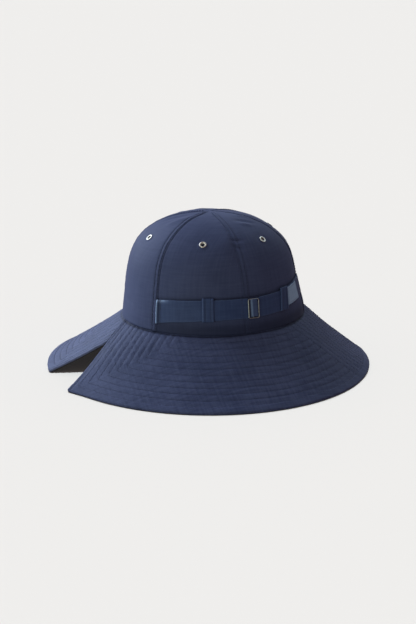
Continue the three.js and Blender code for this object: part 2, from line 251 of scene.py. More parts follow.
SWELLS = [
    Sizes(azimuth=-2, height=78, width=9, tall=15, depth=-2.2),
    Sizes(azimuth=14, height=70, width=16, tall=26, depth=1.0),
    Sizes(azimuth=-112, height=40, width=34, tall=60, depth=-0.9),
    Sizes(azimuth=66, height=6, width=40, tall=16, depth=1.6),
    Sizes(azimuth=68, height=42, width=30, tall=22, depth=-2.2),
    Sizes(azimuth=78, height=93, width=36, tall=14, depth=-2.6),
]
print("crown height in mm:", CROWN.height, "brim run in mm:", round(BRIM_RUN, 1))

# %% Small functions for soft forms


def mix(a, b, share):
    """The value at a share of the way from a to b."""
    return a + (b - a) * share


def bell(distance, width):
    """A soft bump: 1 at no distance, fading to 0 past its width."""
    return np.exp(-((distance / width) ** 2))


def ridge(distance, high, middle, width):
    """A soft bump of a height, with its middle at a distance. A furrow has a height below 0."""
    return high * bell(distance - middle, width)


def smooth(low, high, value):
    """A soft step from 0 at low to 1 at high."""
    share = np.clip((value - low) / (high - low), 0, 1)
    return share * share * (3 - 2 * share)


def turn_between(start, end):
    """Degrees from one azimuth to another, the short way round."""
    return (end - start + 180) % 360 - 180


def unit(vectors):
    """The same vectors with length 1."""
    return vectors / np.maximum(np.linalg.norm(vectors, axis=-1, keepdims=True), 1e-12)


def ripple(points, wavelength, seed, waves=9):
    """Uneven soft waves of about that wavelength through space, mostly from -1 to 1."""
    chance = np.random.default_rng(seed)
    total = np.zeros(points.shape[:-1])
    for _ in range(waves):
        way = unit(chance.normal(size=3)) * 2 * math.pi / (wavelength * chance.uniform(0.75, 1.35))
        total += np.sin(points @ way + chance.uniform(0, 2 * math.pi))
    return total / math.sqrt(2 * waves)


print("a bump of width 1 at distance 1:", round(float(bell(1.0, 1.0)), 3))

# %% Surface of the crown


def head_line(azimuth):
    """Height of the seam between crown and brim."""
    return HEAD.height + HEAD_RISE.rise * bell(turn_between(HEAD_RISE.azimuth, azimuth), HEAD_RISE.spread)


def swell_at(azimuth, height):
    """Outward movement of the crown's cloth: flatter panels with a ridge at each seam, dents and swells."""
    half = PANEL_TURN / 2
    middle = 1 - np.abs((azimuth + half) % PANEL_TURN - half) / half
    total = FLATNESS.depth * (middle ** 2 - 1 + FLATNESS.lift) * smooth(0, FLATNESS.foot, height)
    for swell in SWELLS:
        across = np.radians(turn_between(swell.azimuth, azimuth)) * HEAD.half_width
        total = total + swell.depth * bell(across, swell.width) * bell(height - swell.height, swell.tall)
    return total


def crown_surface(azimuth, climb):
    """Points of the crown, where climb runs from 0 at the head line to 1 at the top."""
    azimuth, climb = np.broadcast_arrays(np.asarray(azimuth, float), np.asarray(climb, float))
    angle = math.pi / 2 * climb ** (CROWN.shoulder / 2)
    height = CROWN.height * np.sin(angle) ** (2 / CROWN.shoulder)
    spread = (1 - CROWN.taper * height) * np.cos(angle)
    swell = swell_at(azimuth, height) * np.cos(angle)
    side, front = np.sin(np.radians(azimuth)), np.cos(np.radians(azimuth))
    x = (HEAD.half_width * spread + swell) * side
    y = -(HEAD.half_length * spread + swell) * front - HEAD.forward + CROWN.lean * height / CROWN.height
    foot = mix(head_line(azimuth), HEAD.height, height / CROWN.height)
    return np.stack([x, y, foot + height], -1)


def crown_normal(azimuth, climb, step=0.004, turn=0.5, short_of_top=0.9995):
    """The way the crown faces. It is measured just short of the top, where all azimuths meet."""
    low = crown_surface(azimuth, np.maximum(climb - step, 0))
    high = crown_surface(azimuth, np.minimum(climb + step, 1 - step / 4))
    below = climb * short_of_top
    across = crown_surface(azimuth + turn, below) - crown_surface(azimuth - turn, below)
    return unit(np.cross(across, high - low))


def crown_point(azimuth, climb, outside):
    """Points at a distance outside the crown's cloth, never below the head line."""
    points = crown_surface(azimuth, climb) + crown_normal(azimuth, climb) * np.asarray(outside)[..., None]
    points[..., 2] = np.maximum(points[..., 2], head_line(np.asarray(azimuth, float)))
    return points


def climb_at(height):
    """Climb that belongs to a height above the head line."""
    angle = np.arcsin((np.asarray(height, float) / CROWN.height) ** (CROWN.shoulder / 2))
    return (angle / (math.pi / 2)) ** (2 / CROWN.shoulder)


print("crown top in mm:", crown_surface(0.0, 1.0).round(1))

# %% Faces of a closed cloth


def cloth_faces(keep):
    """Faces of two sheets on one grid, the second turned over, joined along every open border."""
    rows, columns = keep.shape[0] + 1, keep.shape[1] + 1
    index = np.arange(rows * columns).reshape(rows, columns)
    corners = np.stack([index[:-1, :-1], index[:-1, 1:], index[1:, 1:], index[1:, :-1]], -1)
    faces = [corners[keep], corners[keep][:, [0, 3, 2, 1]] + rows * columns]
    padded = np.pad(keep, 1)
    neighbours = [padded[:-2, 1:-1], padded[1:-1, 2:], padded[2:, 1:-1], padded[1:-1, :-2]]
    for side, neighbour in enumerate(neighbours):
        open_side = keep & ~neighbour
        near, far = corners[open_side, (side + 1) % 4], corners[open_side, side]
        faces.append(np.stack([near, far, far + rows * columns, near + rows * columns], -1))
    return np.concatenate(faces)


print("faces round a grid of one cell:", len(cloth_faces(np.ones((1, 1), bool))))

# %% A closed piece of cloth from two grids of points
WELD = 0.004
SHARP_TURN = 50


def new_object(name, mesh, material):
    """Links a mesh to the scene with its material and smooth shading."""
    mesh.materials.clear()
    mesh.materials.append(material)
    mesh.shade_smooth()
    mesh.set_sharp_from_angle(angle=math.radians(SHARP_TURN))
    obj = bpy.data.objects.new(name, mesh)
    bpy.context.scene.collection.objects.link(obj)
    return obj


def cloth_piece(name, outer, inner, cut, material, shade=0.0, keep=None, worn=0.0):
    """A closed piece of cloth. cut holds where each point lay when the cloth was flat, in mm."""
    rows, columns = outer.shape[:2]
    points = np.concatenate([outer.reshape(-1, 3), inner.reshape(-1, 3)]) * MM
    keep = np.ones((rows - 1, columns - 1), bool) if keep is None else keep
    mesh = bpy.data.meshes.new(name)
    mesh.from_pydata(points.tolist(), [], cloth_faces(keep).tolist())
    corner = np.zeros(len(mesh.loops), int)
    mesh.loops.foreach_get("vertex_index", corner)
    flat = np.tile(cut.reshape(-1, 2), (2, 1)) * MM
    mesh.uv_layers.new(name="cut").data.foreach_set("uv", flat[corner].ravel())
    # The first attribute is painted shade: needle lines, ditches, the foot of the crown and gaps. The second
    # is painted light: lit folds, edges and tops.
    for label_text, values in (("painted_shade", shade), ("painted_light", worn)):
        spread = np.clip(np.broadcast_to(values, (rows, columns)), 0, 1)
        attribute = mesh.attributes.new(label_text, "FLOAT", "POINT")
        attribute.data.foreach_set("value", np.tile(spread.ravel(), 2).astype(np.float32))
    shape = bmesh.new()
    shape.from_mesh(mesh)
    bmesh.ops.remove_doubles(shape, verts=shape.verts, dist=WELD * MM)
    loose = [vert for vert in shape.verts if not vert.link_faces]
    bmesh.ops.delete(shape, geom=loose, context="VERTS")
    shape.to_mesh(mesh)
    shape.free()
    return new_object(name, mesh, material)


print("points closer than", WELD, "mm become one, and edges sharper than", SHARP_TURN, "degrees stay sharp")

# %% Folded edges and flat sizes


def edge_roll(distance, radius):
    """How far a folded edge has curved away at a distance from it."""
    short = np.clip(radius - distance, 0, radius)
    return radius - np.sqrt(radius ** 2 - short ** 2)


def flat_area(cut):
    """Area in square metres of a piece as it was cut, from its flat grid in mm."""
    across, along = np.diff(cut, axis=1)[:-1], np.diff(cut, axis=0)[:, :-1]
    cells = across[..., 0] * along[..., 1] - across[..., 1] * along[..., 0]
    return float(np.abs(cells).sum()) * MM * MM


print("a folded edge of radius 1 at its very end:", edge_roll(0.0, 1.0))

# %% [markdown]
# ## Woven cloth
# The shell is a tightly woven polyester with a dull water-repellent finish. Close up it is a plain weave
# with slightly uneven yarns, called slubs. Its sheen is weak and comes from the fine fuzz of the yarns.
# The weave follows the cut of each piece, so it reads the piece's own flat map, the way a tailor chalks
# cloth before sewing. Real yarns lie 0.25 mm apart, which no picture of a whole hat can show, so they
# are drawn 1 to 1.5 mm apart and kept faint. The crown lies smoother than the quilted brim, so its
# cloth has the same colours with less contrast between the yarns.

# %% Yarns and slubs
BAND_PERIOD = 2 * math.pi / 20    # width of one band of Blender's wave texture at scale 1


def flat_map(tree):
    """The piece's own flat map, in metres of cloth."""
    return add_node(tree, "ShaderNodeUVMap", uv_map="cut").outputs["UV"]


def yarns(tree, period_mm, turned):
    """Parallel yarns across or along the cut, as a soft 0 to 1 wave."""
    return add_node(
        tree, "ShaderNodeTexWave", {"Scale": BAND_PERIOD / (period_mm * MM), "Distortion": 0.6,
                                    "Detail": 1.0, "Detail Scale": 0.5},
        {"Vector": flat_map(tree)}, bands_direction="Y" if turned else "X").outputs["Fac"]


def slubs(tree, wide_mm, long_mm, turned):
    """Uneven thick and thin stretches of yarn."""
    size = (1 / (wide_mm * MM), 1 / (long_mm * MM), 1.0)
    scaled = add_node(tree, "ShaderNodeMapping", {"Scale": size[1::-1] + size[2:] if turned else size},
                      {"Vector": flat_map(tree)})
    return add_node(tree, "ShaderNodeTexNoise", {"Scale": 1.0, "Detail": 2.0},
                    {"Vector": scaled.outputs["Vector"]}).outputs["Fac"]


def blend(tree, first, second, share=0.5):
    """The two values mixed, with this share of the second."""
    return add_node(tree, "ShaderNodeMix", {"Factor": share}, {"A": first, "B": second}).outputs["Result"]


print("one band of the wave texture at scale 1:", round(BAND_PERIOD, 3))

# %% A woven material
SLUB = Sizes(wide=2.4, long=30.0, share=0.93, relief=0.6)
CLOUD = Sizes(wide=38.0, share=0.25)
TONES = Sizes(least=0.39, most=0.61)
CLOTH_BUMP = Sizes(strength=0.5, height=0.06)
ROUGHNESS_SPREAD = 0.06


def woven(name, dark, light, needle, yarn_mm, rough, sheen, gloss, bump_mm=CLOTH_BUMP.height,
          painted_light_colour="#ffffff"):
    """Woven cloth between two tones, with painted shade along its needle lines and in shaded places, and
    painted light on lit folds and edges.
    """
    material, tree, shader = new_material(name)
    weave = blend(tree, yarns(tree, yarn_mm, False), yarns(tree, yarn_mm, True))
    uneven = blend(tree, slubs(tree, SLUB.wide, SLUB.long, False), slubs(tree, SLUB.wide, SLUB.long, True))
    clouds = add_node(tree, "ShaderNodeTexNoise", {"Scale": 1 / (CLOUD.wide * MM), "Detail": 1.0},
                      {"Vector": add_node(tree, "ShaderNodeTexCoord").outputs["Object"]}).outputs["Fac"]
    tone = blend(tree, blend(tree, weave, uneven, SLUB.share), clouds, CLOUD.share)
    spread = add_node(tree, "ShaderNodeMapRange", {"From Min": TONES.least, "From Max": TONES.most},
                      {"Value": tone}).outputs["Result"]
    colour = add_node(tree, "ShaderNodeMix", {"A": linear(dark), "B": linear(light)},
                      {"Factor": spread}, data_type="RGBA")
    # Painted shade: the needle colour darkens the needle lines and other shaded places.
    lines = add_node(tree, "ShaderNodeAttribute", attribute_name="painted_shade")
    sewn = add_node(tree, "ShaderNodeMix", {"B": linear(needle)},
                    {"Factor": lines.outputs["Fac"], "A": colour.outputs["Result"]}, data_type="RGBA")
    # Painted light: the pale colour lightens lit folds, edges, the hem's step and the tops of some pieces.
    painted_light_mask = add_node(tree, "ShaderNodeAttribute", attribute_name="painted_light")
    worn = add_node(tree, "ShaderNodeMix", {"B": linear(painted_light_colour)},
                    {"Factor": painted_light_mask.outputs["Fac"], "A": sewn.outputs["Result"]}, data_type="RGBA")
    relief = blend(tree, weave, uneven, SLUB.relief)
    bump = add_node(tree, "ShaderNodeBump", {"Strength": CLOTH_BUMP.strength, "Distance": bump_mm * MM},
                    {"Height": relief})
    roughness = add_node(tree, "ShaderNodeMapRange",
                         {"To Min": rough - ROUGHNESS_SPREAD, "To Max": rough + ROUGHNESS_SPREAD},
                         {"Value": uneven}).outputs["Result"]
    tree.links.new(worn.outputs["Result"], shader.inputs["Base Color"])
    tree.links.new(bump.outputs["Normal"], shader.inputs["Normal"])
    tree.links.new(roughness, shader.inputs["Roughness"])
    shader.inputs["Specular IOR Level"].default_value = gloss
    shader.inputs["Sheen Weight"].default_value = sheen
    shader.inputs["Sheen Roughness"].default_value = 0.4
    shader.inputs["Sheen Tint"].default_value = linear("#c4ccff")
    return material


print("slubs in mm:", SLUB.wide, "by", SLUB.long)

# %% The hat's cloths
# The third colour is painted shade for needle lines and shaded places, and the last is painted light on lit
# folds and edges.
SHELL = woven("navy polyester shell", "#323a58", "#434b6c", "#11162a", yarn_mm=1.5, rough=0.6,
              sheen=0.08, gloss=0.08, bump_mm=0.022, painted_light_colour="#c4d0ff")
FINE_SHELL = woven("fine navy polyester shell", "#363e5d", "#3e4666", "#11162a", yarn_mm=1.5, rough=0.6,
                   sheen=0.08, gloss=0.08, bump_mm=0.012, painted_light_colour="#c4d0ff")
LINING = woven("charcoal cotton facing", "#282829", "#323234", "#19191a", yarn_mm=1.2, rough=0.85,
               sheen=0.05, gloss=0.1)
RIBBON = woven("navy petersham ribbon", "#2c3a5f", "#36456b", "#10141f", yarn_mm=1.0, rough=0.5,
               sheen=0.06, gloss=0.12, painted_light_colour="#8096bd")
PATCH = woven("slate woven label", "#7b94b5", "#8aa2c1", "#5d6c85", yarn_mm=1.0, rough=0.6,
              sheen=0.1, gloss=0.15)
print("cloths:", SHELL.name, FINE_SHELL.name, LINING.name, RIBBON.name, PATCH.name)

# %% [markdown]
# ## Thread and metal
# The sewing thread is spun polyester in the shell's colour, a little shinier than the cloth, so that the
# stitches catch light as fine specks. Eyelets and buckle are nickel-plated brass: a metal's colour is its
# reflection, and a low uneven roughness is what rolling and tumbling leave on small plated parts.

# %% Thread and nickel
PLY = Sizes(wide=0.5, height=0.05)
WEAR_WIDE = 2.5


def sewing_thread():
    """Spun polyester thread: its twisted plies show as fine uneven relief."""
    material, tree, shader = new_material("navy sewing thread")
    place = add_node(tree, "ShaderNodeTexCoord").outputs["Object"]
    twist = add_node(tree, "ShaderNodeTexNoise", {"Scale": 1 / (PLY.wide * MM), "Detail": 1.0},
                     {"Vector": place})
    tone = add_node(tree, "ShaderNodeMix", {"A": linear("#2a314e"), "B": linear("#3b4363")},
                    {"Factor": twist.outputs["Fac"]}, data_type="RGBA")
    bump = add_node(tree, "ShaderNodeBump", {"Strength": 0.4, "Distance": PLY.height * MM},
                    {"Height": twist.outputs["Fac"]})
    tree.links.new(tone.outputs["Result"], shader.inputs["Base Color"])
    tree.links.new(bump.outputs["Normal"], shader.inputs["Normal"])
    shader.inputs["Roughness"].default_value = 0.55
    shader.inputs["Specular IOR Level"].default_value = 0.2
    return material


def nickel_plate(name, dark, light, least, most):
    """Nickel plate: a warm grey mirror that fine wear has dulled in places."""
    material, tree, shader = new_material(name)
    place = add_node(tree, "ShaderNodeTexCoord").outputs["Object"]
    wear = add_node(tree, "ShaderNodeTexNoise", {"Scale": 1 / (WEAR_WIDE * MM), "Detail": 3.0},
                    {"Vector": place})
    tone = add_node(tree, "ShaderNodeMix", {"A": linear(dark), "B": linear(light)},
                    {"Factor": wear.outputs["Fac"]}, data_type="RGBA")
    rough = add_node(tree, "ShaderNodeMapRange", {"To Min": least, "To Max": most},
                     {"Value": wear.outputs["Fac"]})
    tree.links.new(tone.outputs["Result"], shader.inputs["Base Color"])
    tree.links.new(rough.outputs["Result"], shader.inputs["Roughness"])
    shader.inputs["Metallic"].default_value = 1.0
    return material


THREAD = sewing_thread()
NICKEL = nickel_plate("nickel plate", "#b9b6b0", "#d8d5cf", 0.18, 0.38)
DULL_NICKEL = nickel_plate("dull nickel wire", "#7f8084", "#9fa0a4", 0.3, 0.45)
print("thread and metal:", THREAD.name, NICKEL.name, DULL_NICKEL.name)

# %% [markdown]
# ## Crown panels
# Each panel is cut as a tall triangle. Where two meet, one is folded over the other and sewn down with
# two parallel rows, a flat-felled seam. Seen from outside that is a low raised band with a needle line on
# each side, and small puckers where the thread pulls. One function builds a panel as a closed wall, with
# close columns of points at the seam and wide ones on the plain cloth, and six calls make the crown.

# %% Sizes of the felled seam and of the crown's creases
LAP = Sizes(width=6.2, share=0.3, rise=0.4, fold=(-0.05, 0.35), end=(-0.1, 0.6), tuck=2.4, shift=-1.0,
            lines=(0.9, 5.2), under=0.45)
NEEDLE = Sizes(deep=0.42, wide=0.5, shade=0.8, shade_wide=0.55)
PUCKER = Sizes(deep=0.16, wide=7.0, wave=7.3, drift=31.0, swing=2.2, middle=2.3)
# How strongly each panel's seam shows, from 0 to 1.
FELL = {"front_left": 1.0, "front_right": 0.35, "side_left": 0.8}
FELL_ELSEWHERE = 0.7
CREASE_END = Sizes(share=0.04, blunt=0.7)
# A crease starts and ends at an azimuth and a height above the head line.
CREASES = [
    Sizes(start=(19, 102), end=(43, 97), width=2.6, depth=-1.105),
    Sizes(start=(17, 99.5), end=(34, 96.5), width=2.2, depth=0.91),
    Sizes(start=(52, 103), end=(71, 96), width=2.6, depth=-0.975),
    Sizes(start=(38, 103.6), end=(60, 99.5), width=2.6, depth=0.91),
    Sizes(start=(-5, 88.5), end=(6, 87), width=1.8, depth=-1.105),
    Sizes(start=(-6, 84), end=(3, 80.5), width=1.8, depth=-0.975),
    Sizes(start=(-82, 95), end=(-65, 104), width=4.5, depth=0.78),
    Sizes(start=(-104, 96.5), end=(-84, 104.5), width=4.0, depth=-0.78),
    Sizes(start=(152, 99), end=(130, 104), width=3.6, depth=-0.65),
    Sizes(start=(196, 97), end=(214, 102), width=3.2, depth=0.65),
]
print("creases:", len(CREASES))

# %% Grid of a panel, edges of the strap and place of the eyelets
# Each row is an azimuth with the heights of the strap's lower and upper edge above the head line.
STRAP_EDGES = np.array([
    (-59.2, 8.8, 32.2), (-56, 9.8, 32.5), (-50, 11.6, 33.2), (-40, 13.0, 33.9), (-29, 14.6, 34.6),
    (-10, 15.6, 35.2), (10, 15.8, 35.3), (24, 16.4, 36.0), (35, 18.4, 37.8), (47, 21.0, 40.3),
    (59.2, 22.8, 42.0),
])
STRAP_ENDS = (58, 62)
# A rough length of the wall, which turns climb into millimetres for the puckers and for the head line.
CROWN_LENGTH = 172.0
PANEL_ROWS = np.concatenate([[0, 0.002, 0.005, 0.009], np.linspace(0.014, 1, 119)])
SEAM_COLUMNS = np.array([0, .1, .25, .45, .7, .9, 1.15, 1.5, 1.9, 2.5, 3.1, 3.7, 4.2, 4.6, 4.95, 5.2, 5.45,
                         5.8, 6.15, 6.5, 6.9, 7.4, 8.0, 8.8])
BODY_COLUMNS = 64
EYELET = Sizes(height=85.3, hole=2.2, punch=2.85, flange=3.6)
print("points along a panel:", len(PANEL_ROWS), "across:", len(SEAM_COLUMNS) + BODY_COLUMNS)

# %% Places on the crown's wall


def reach_at(climb, least=0.05):
    """Distance of the crown's wall from its axis, never quite nothing at the top."""
    return np.maximum(HEAD.half_width * np.cos(math.pi / 2 * climb ** (CROWN.shoulder / 2)), least)


def height_at(climb):
    """Height above the head line that belongs to a climb."""
    return CROWN.height * np.sin(math.pi / 2 * climb ** (CROWN.shoulder / 2)) ** (2 / CROWN.shoulder)


CLIMBS = np.linspace(0, 1, 600)
WALL_STEPS = np.hypot(np.diff(reach_at(CLIMBS)), np.diff(height_at(CLIMBS)))
WALL_LENGTHS = np.concatenate([[0], np.cumsum(WALL_STEPS)])


def length_at(climb):
    """Length of cloth along the wall from the head line up to a climb."""
    return np.interp(climb, CLIMBS, WALL_LENGTHS)


def strap_edge(azimuth):
    """Heights of the strap's lower and upper edge."""
    turn = turn_between(0, azimuth)
    low, high = (np.interp(turn, STRAP_EDGES[:, 0], STRAP_EDGES[:, i]) for i in (1, 2))
    return low, high


def strap_reach(azimuth):
    """1 where the strap runs round the front, fading out at both of its ends."""
    return 1 - smooth(*STRAP_ENDS, np.abs(turn_between(0, azimuth)))


print("cloth from the head line to the top in mm:", round(WALL_LENGTHS[-1], 1))

# %% Ridges and furrows of a panel
# Each one is a height, the place of its middle and its width, all in mm.
DITCH = (-0.22, 0.9, 0.6)
EDGE_FURROW = (-0.15, 0.7, 0.8)
FOOT_FURROW = (-1.2, 0.0, 1.3)
STRAP_FURROW = (-0.7, 1.6, 1.7)
EYELET_SWELL = (0.15, 0.0, 3.6)
EYELET_FURROW = (-0.3, 6.2, 1.8)


def lap_profile(distance):
    """Height of the felled seam at a distance from its folded edge."""
    band = LAP.rise * smooth(*LAP.fold, distance)
    band = band * (1 - smooth(LAP.width + LAP.end[0], LAP.width + LAP.end[1], distance))
    rows = NEEDLE.deep * sum(bell(distance - line, NEEDLE.wide) for line in LAP.lines)
    return band + ridge(distance - LAP.width, *DITCH) - rows


def pucker(distance, along, phase):
    """Small waves that the thread draws into the cloth beside a seam."""
    drift = PUCKER.swing * np.sin(2 * math.pi * along / PUCKER.drift + phase)
    wave = np.sin(2 * math.pi * along / PUCKER.wave + drift)
    return PUCKER.deep * wave * bell(distance, PUCKER.wide)


def crease_relief(points):
    """Creases of the worn crown, each between two places given as azimuth and height."""
    total = np.zeros(points.shape[:-1])
    for crease in CREASES:
        start, end = (crown_surface(az, climb_at(height)) for az, height in (crease.start, crease.end))
        way = end - start
        share = np.clip(((points - start) @ way) / (way @ way), 0, 1)
        off = np.linalg.norm(points - start - share[..., None] * way, axis=-1)
        inside = np.clip(share, CREASE_END.share, 1 - CREASE_END.share)
        fade = np.sin(math.pi * inside) ** CREASE_END.blunt
        total += crease.depth * bell(off, crease.width) * fade
    return total


print("depth of a needle line in mm:", NEEDLE.deep)

# %% Relief of a panel
UNDERLAP = Sizes(drop=0.6, half=0.4)
SLACK = Sizes(high=0.35, wave=46, seed=7)
CRUMPLE = Sizes(high=0.10, wave=17, seed=8)


def panel_places(seam):
    """Where every point of a panel lies: around and up the crown, and from its seams."""
    climb = PANEL_ROWS[:, None]
    reach = reach_at(climb)
    width = reach * math.radians(PANEL_TURN)
    size = np.minimum(LAP.width, width * LAP.share) / LAP.width
    near = SEAM_COLUMNS[None, :] * size
    share = np.linspace(0, 1, BODY_COLUMNS + 1)[None, 1:]
    body = mix(SEAM_COLUMNS[-1] * size, width + LAP.tuck * size, share)
    from_fold = np.concatenate([near, body], 1)
    azimuth = seam + np.degrees((from_fold + (LAP.shift - LAP.width / 2) * size) / reach)
    climb = np.broadcast_to(climb, azimuth.shape)
    return Sizes(azimuth=azimuth, climb=climb, along=climb * CROWN_LENGTH, height=height_at(climb), size=size,
                 from_fold=from_fold, left_over=width - from_fold,
                 above_strap=height_at(climb) - strap_edge(azimuth)[1], strap=strap_reach(azimuth))


def panel_relief(at, seam, fell, points, ring):
    """Height of a panel's cloth above the plain crown, where ring is the distance from its eyelet."""
    drawn = pucker(at.from_fold - PUCKER.middle, at.along, seam)
    drawn = drawn + pucker(at.left_over, at.along, seam + PANEL_TURN)
    relief = (lap_profile(at.from_fold / at.size) + drawn) * at.size * fell
    relief += crease_relief(points)
    for waves in (SLACK, CRUMPLE):
        relief += waves.high * ripple(points, waves.wave, waves.seed)
    relief -= UNDERLAP.drop * smooth(-UNDERLAP.half, UNDERLAP.half, -at.left_over) * at.size
    relief += ridge(at.left_over, *EDGE_FURROW) + ridge(at.along, *FOOT_FURROW)
    relief += ridge(at.above_strap, *STRAP_FURROW) * at.strap
    return relief + ridge(ring, *EYELET_SWELL) + ridge(ring, *EYELET_FURROW)


print("felled seam width in mm:", LAP.width)

# %% Shade of a panel
# Each one is a strength from 0 to 1, the place of its middle and its width in mm.
# All of these are painted shade.
EDGE_SHADE = (0.2, 0.8, 0.5)
STRAP_SHADE = (0.7, 0.6, 1.2)
HEAD_SHADE = (1.0, 0.0, 1.4)
UNDER_STRAP = Sizes(shade=0.62, full=5, none=18)
# Painted light near the top of the front.
TOP_PAINTED_LIGHT = Sizes(share=0.04, low=97, high=105, azimuth=40, turn=50)


def panel_shade(at, fell):
    """Painted shade in the needle lines, in the seam's ditch, at the seam to the brim and on the cloth round
    the strap.
    """
    lines = NEEDLE.shade * sum(bell(at.from_fold / at.size - line, NEEDLE.shade_wide) for line in LAP.lines)
    shade = np.clip(lines + ridge(at.from_fold / at.size - LAP.width, *EDGE_SHADE), 0, 1) * fell
    foot = UNDER_STRAP.shade * (1 - smooth(UNDER_STRAP.full, UNDER_STRAP.none, at.height))
    shade = np.maximum(shade, foot * at.strap)
    shade = np.maximum(shade, ridge(at.above_strap, *STRAP_SHADE) * at.strap)
    return np.maximum(shade, ridge(at.along, *HEAD_SHADE))


def panel_painted_light(at):
    """Painted light: slightly paler cloth near the top of the front."""
    top = TOP_PAINTED_LIGHT.share * smooth(TOP_PAINTED_LIGHT.low, TOP_PAINTED_LIGHT.high, at.height)
    return top * bell(turn_between(TOP_PAINTED_LIGHT.azimuth, at.azimuth), TOP_PAINTED_LIGHT.turn)


print("shade under the strap:", UNDER_STRAP.shade)

# %% One panel with its eyelet hole
THINNEST = 0.4


def punched(ring, sheets, seat, facing):
    """Leaves out the cells inside the punched hole, and rounds its edge in both sheets."""
    keep = (ring[:-1, :-1] + ring[:-1, 1:] + ring[1:, 1:] + ring[1:, :-1]) / 4 > EYELET.punch
    touched = np.pad(keep, 1, constant_values=True)
    edge = ~(touched[:-1, :-1] & touched[:-1, 1:] & touched[1:, 1:] & touched[1:, :-1])
    for sheet in sheets:
        away = sheet[edge] - seat
        away -= (away @ facing)[:, None] * facing
        sheet[edge] += away * (EYELET.punch / np.linalg.norm(away, axis=-1, keepdims=True) - 1)
    return keep


def crown_panel(name, seam, eyelet, fell):
    """One panel with its lapped seam, puckers, creases, turned-in foot and eyelet hole."""
    at = panel_places(seam)
    points = crown_surface(at.azimuth, at.climb)
    hole = climb_at(EYELET.height)
    seat, facing = crown_surface(eyelet, hole), crown_normal(eyelet, hole)
    ring = np.linalg.norm(points - seat, axis=-1)
    relief = panel_relief(at, seam, fell, points, ring)
    under = np.where(at.from_fold < LAP.width * at.size, relief - LAP.under, -CROWN.wall)
    outer = crown_point(at.azimuth, at.climb, relief)
    inner = crown_point(at.azimuth, at.climb, np.minimum(under, relief - THINNEST))
    keep = punched(ring, (outer, inner), seat, facing)
    cut = np.stack([at.from_fold, length_at(at.climb)], -1)
    shade, worn = panel_shade(at, fell), panel_painted_light(at)
    return cloth_piece(name, outer, inner, cut, FINE_SHELL, shade, keep, worn), cut


print("hole punched for each eyelet in mm:", 2 * EYELET.punch)

# %% Make the six panels
for name, panel in PANELS.items():
    piece, cut = crown_panel(f"panel_{name}", panel.seam, panel.eyelet, FELL.get(name, FELL_ELSEWHERE))
    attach(piece, "root")
    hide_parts(f"crown_panel_{name}")
    print(piece.name, "faces:", len(piece.data.polygons), "cut area in m2:", round(flat_area(cut), 5))

# %% [markdown]
# ## The quilted brim
# The brim is two layers of cloth sewn together with many rows of stitches, which make it stiff enough to
# stand out. The rows run parallel to the rim and turn along the slits, 7.75 mm apart. A cone can be
# unrolled flat without stretching, so the rows are worked out on the flat cut, where parallel lines are
# simple, and carried back to the cone. The cloth puffs up between rows and is pulled down along them.

# %% Sizes of the brim and its rows
SLANT = math.hypot(BRIM_RUN, HEAD.height)
UNROLL = BRIM_RUN / SLANT
SLANT_HEAD = HEAD.half_width / UNROLL
SLANT_RIM = RIM.half_width / UNROLL
ROWS = Sizes(first=9.0, pitch=7.75, count=11, edge=4.0)
FAN = Sizes(first=9.0, pitch=8.3, count=12)
FAN_REACH = FAN.first + FAN.pitch * (FAN.count - 1)
SLIT = Sizes(front_head=94.6, front_rim=76.7, flap_rim=98.4, opens=0.3, gap=0.05)
FLARE_TURN = 5.5
EDGE = Sizes(roll=1.35, corner=2.2)
CLOSE = [0, .12, .35, .7, 1.2, 1.8, 2.5, 3.3, 4.2]
print("slant of the brim in mm:", round(SLANT, 1), "unrolls to", round(360 * UNROLL), "degrees")

# %% Surface and flat cut of the brim


def brim_surface(azimuth, across):
    """Points of the plain brim from the head line, where across is 0, to the rim, where it is 1."""
    azimuth, across = np.broadcast_arrays(np.asarray(azimuth, float), np.asarray(across, float))
    side, front = np.sin(np.radians(azimuth)), np.cos(np.radians(azimuth))
    x = mix(HEAD.half_width, RIM.half_width, across) * side
    flare = RIM.flare * bell(turn_between(-SLIT.front_rim, azimuth), FLARE_TURN) * np.clip(across, 0, 1) ** 2
    x = x + flare * side
    y_head = -HEAD.half_length * front - HEAD.forward
    y_rim = RIM.widest_at - front * np.where(front > 0, RIM.front + RIM.widest_at, RIM.back - RIM.widest_at)
    top = mix(head_line(azimuth) - GAP, RIM.top, across)
    top = top - RIM.sag * np.sin(math.pi * np.clip(across, 0, 1) ** RIM.sag_low)
    return np.stack([x, mix(y_head, y_rim, across), top], -1)


def brim_normal(azimuth, across, step=0.01, turn=0.5):
    """The way the top of the brim faces."""
    outward = brim_surface(azimuth, across + step) - brim_surface(azimuth, across - step)
    around = brim_surface(azimuth + turn, across) - brim_surface(azimuth - turn, across)
    return unit(np.cross(outward, around))


def flat_place(turn, across):
    """Where a point of the brim lay on the flat cut, for its turn from the piece's middle."""
    radius = mix(SLANT_HEAD, SLANT_RIM, across)
    angle = UNROLL * np.radians(turn)
    return np.stack([radius * np.sin(angle), -radius * np.cos(angle)], -1)


def from_flat(place):
    """Turn and across that belong to a place on the flat cut."""
    radius = np.hypot(place[..., 0], place[..., 1])
    angle = np.arctan2(place[..., 0], -place[..., 1])
    return np.degrees(angle) / UNROLL, (radius - SLANT_HEAD) / SLANT


print("brim at the front, head line and rim in mm:", brim_surface(0.0, [0.0, 1.0]).round(1).tolist())

# %% Slits and the two parts of the brim


def slit_turn(across, from_across, from_turn, to_turn):
    """Turn of a slit's edge on its straight way between two places."""
    share = (across - from_across) / (1 - from_across)
    near = mix(HEAD.half_width, RIM.half_width, from_across) * (1 - share)
    far = RIM.half_width * share
    return (near * from_turn + far * to_turn) / (near + far)


def front_edge(across):
    """The front brim's edge as a turn from the front: a straight cut on the flat cloth."""
    return slit_turn(np.maximum(across, 0), 0, SLIT.front_head, SLIT.front_rim)


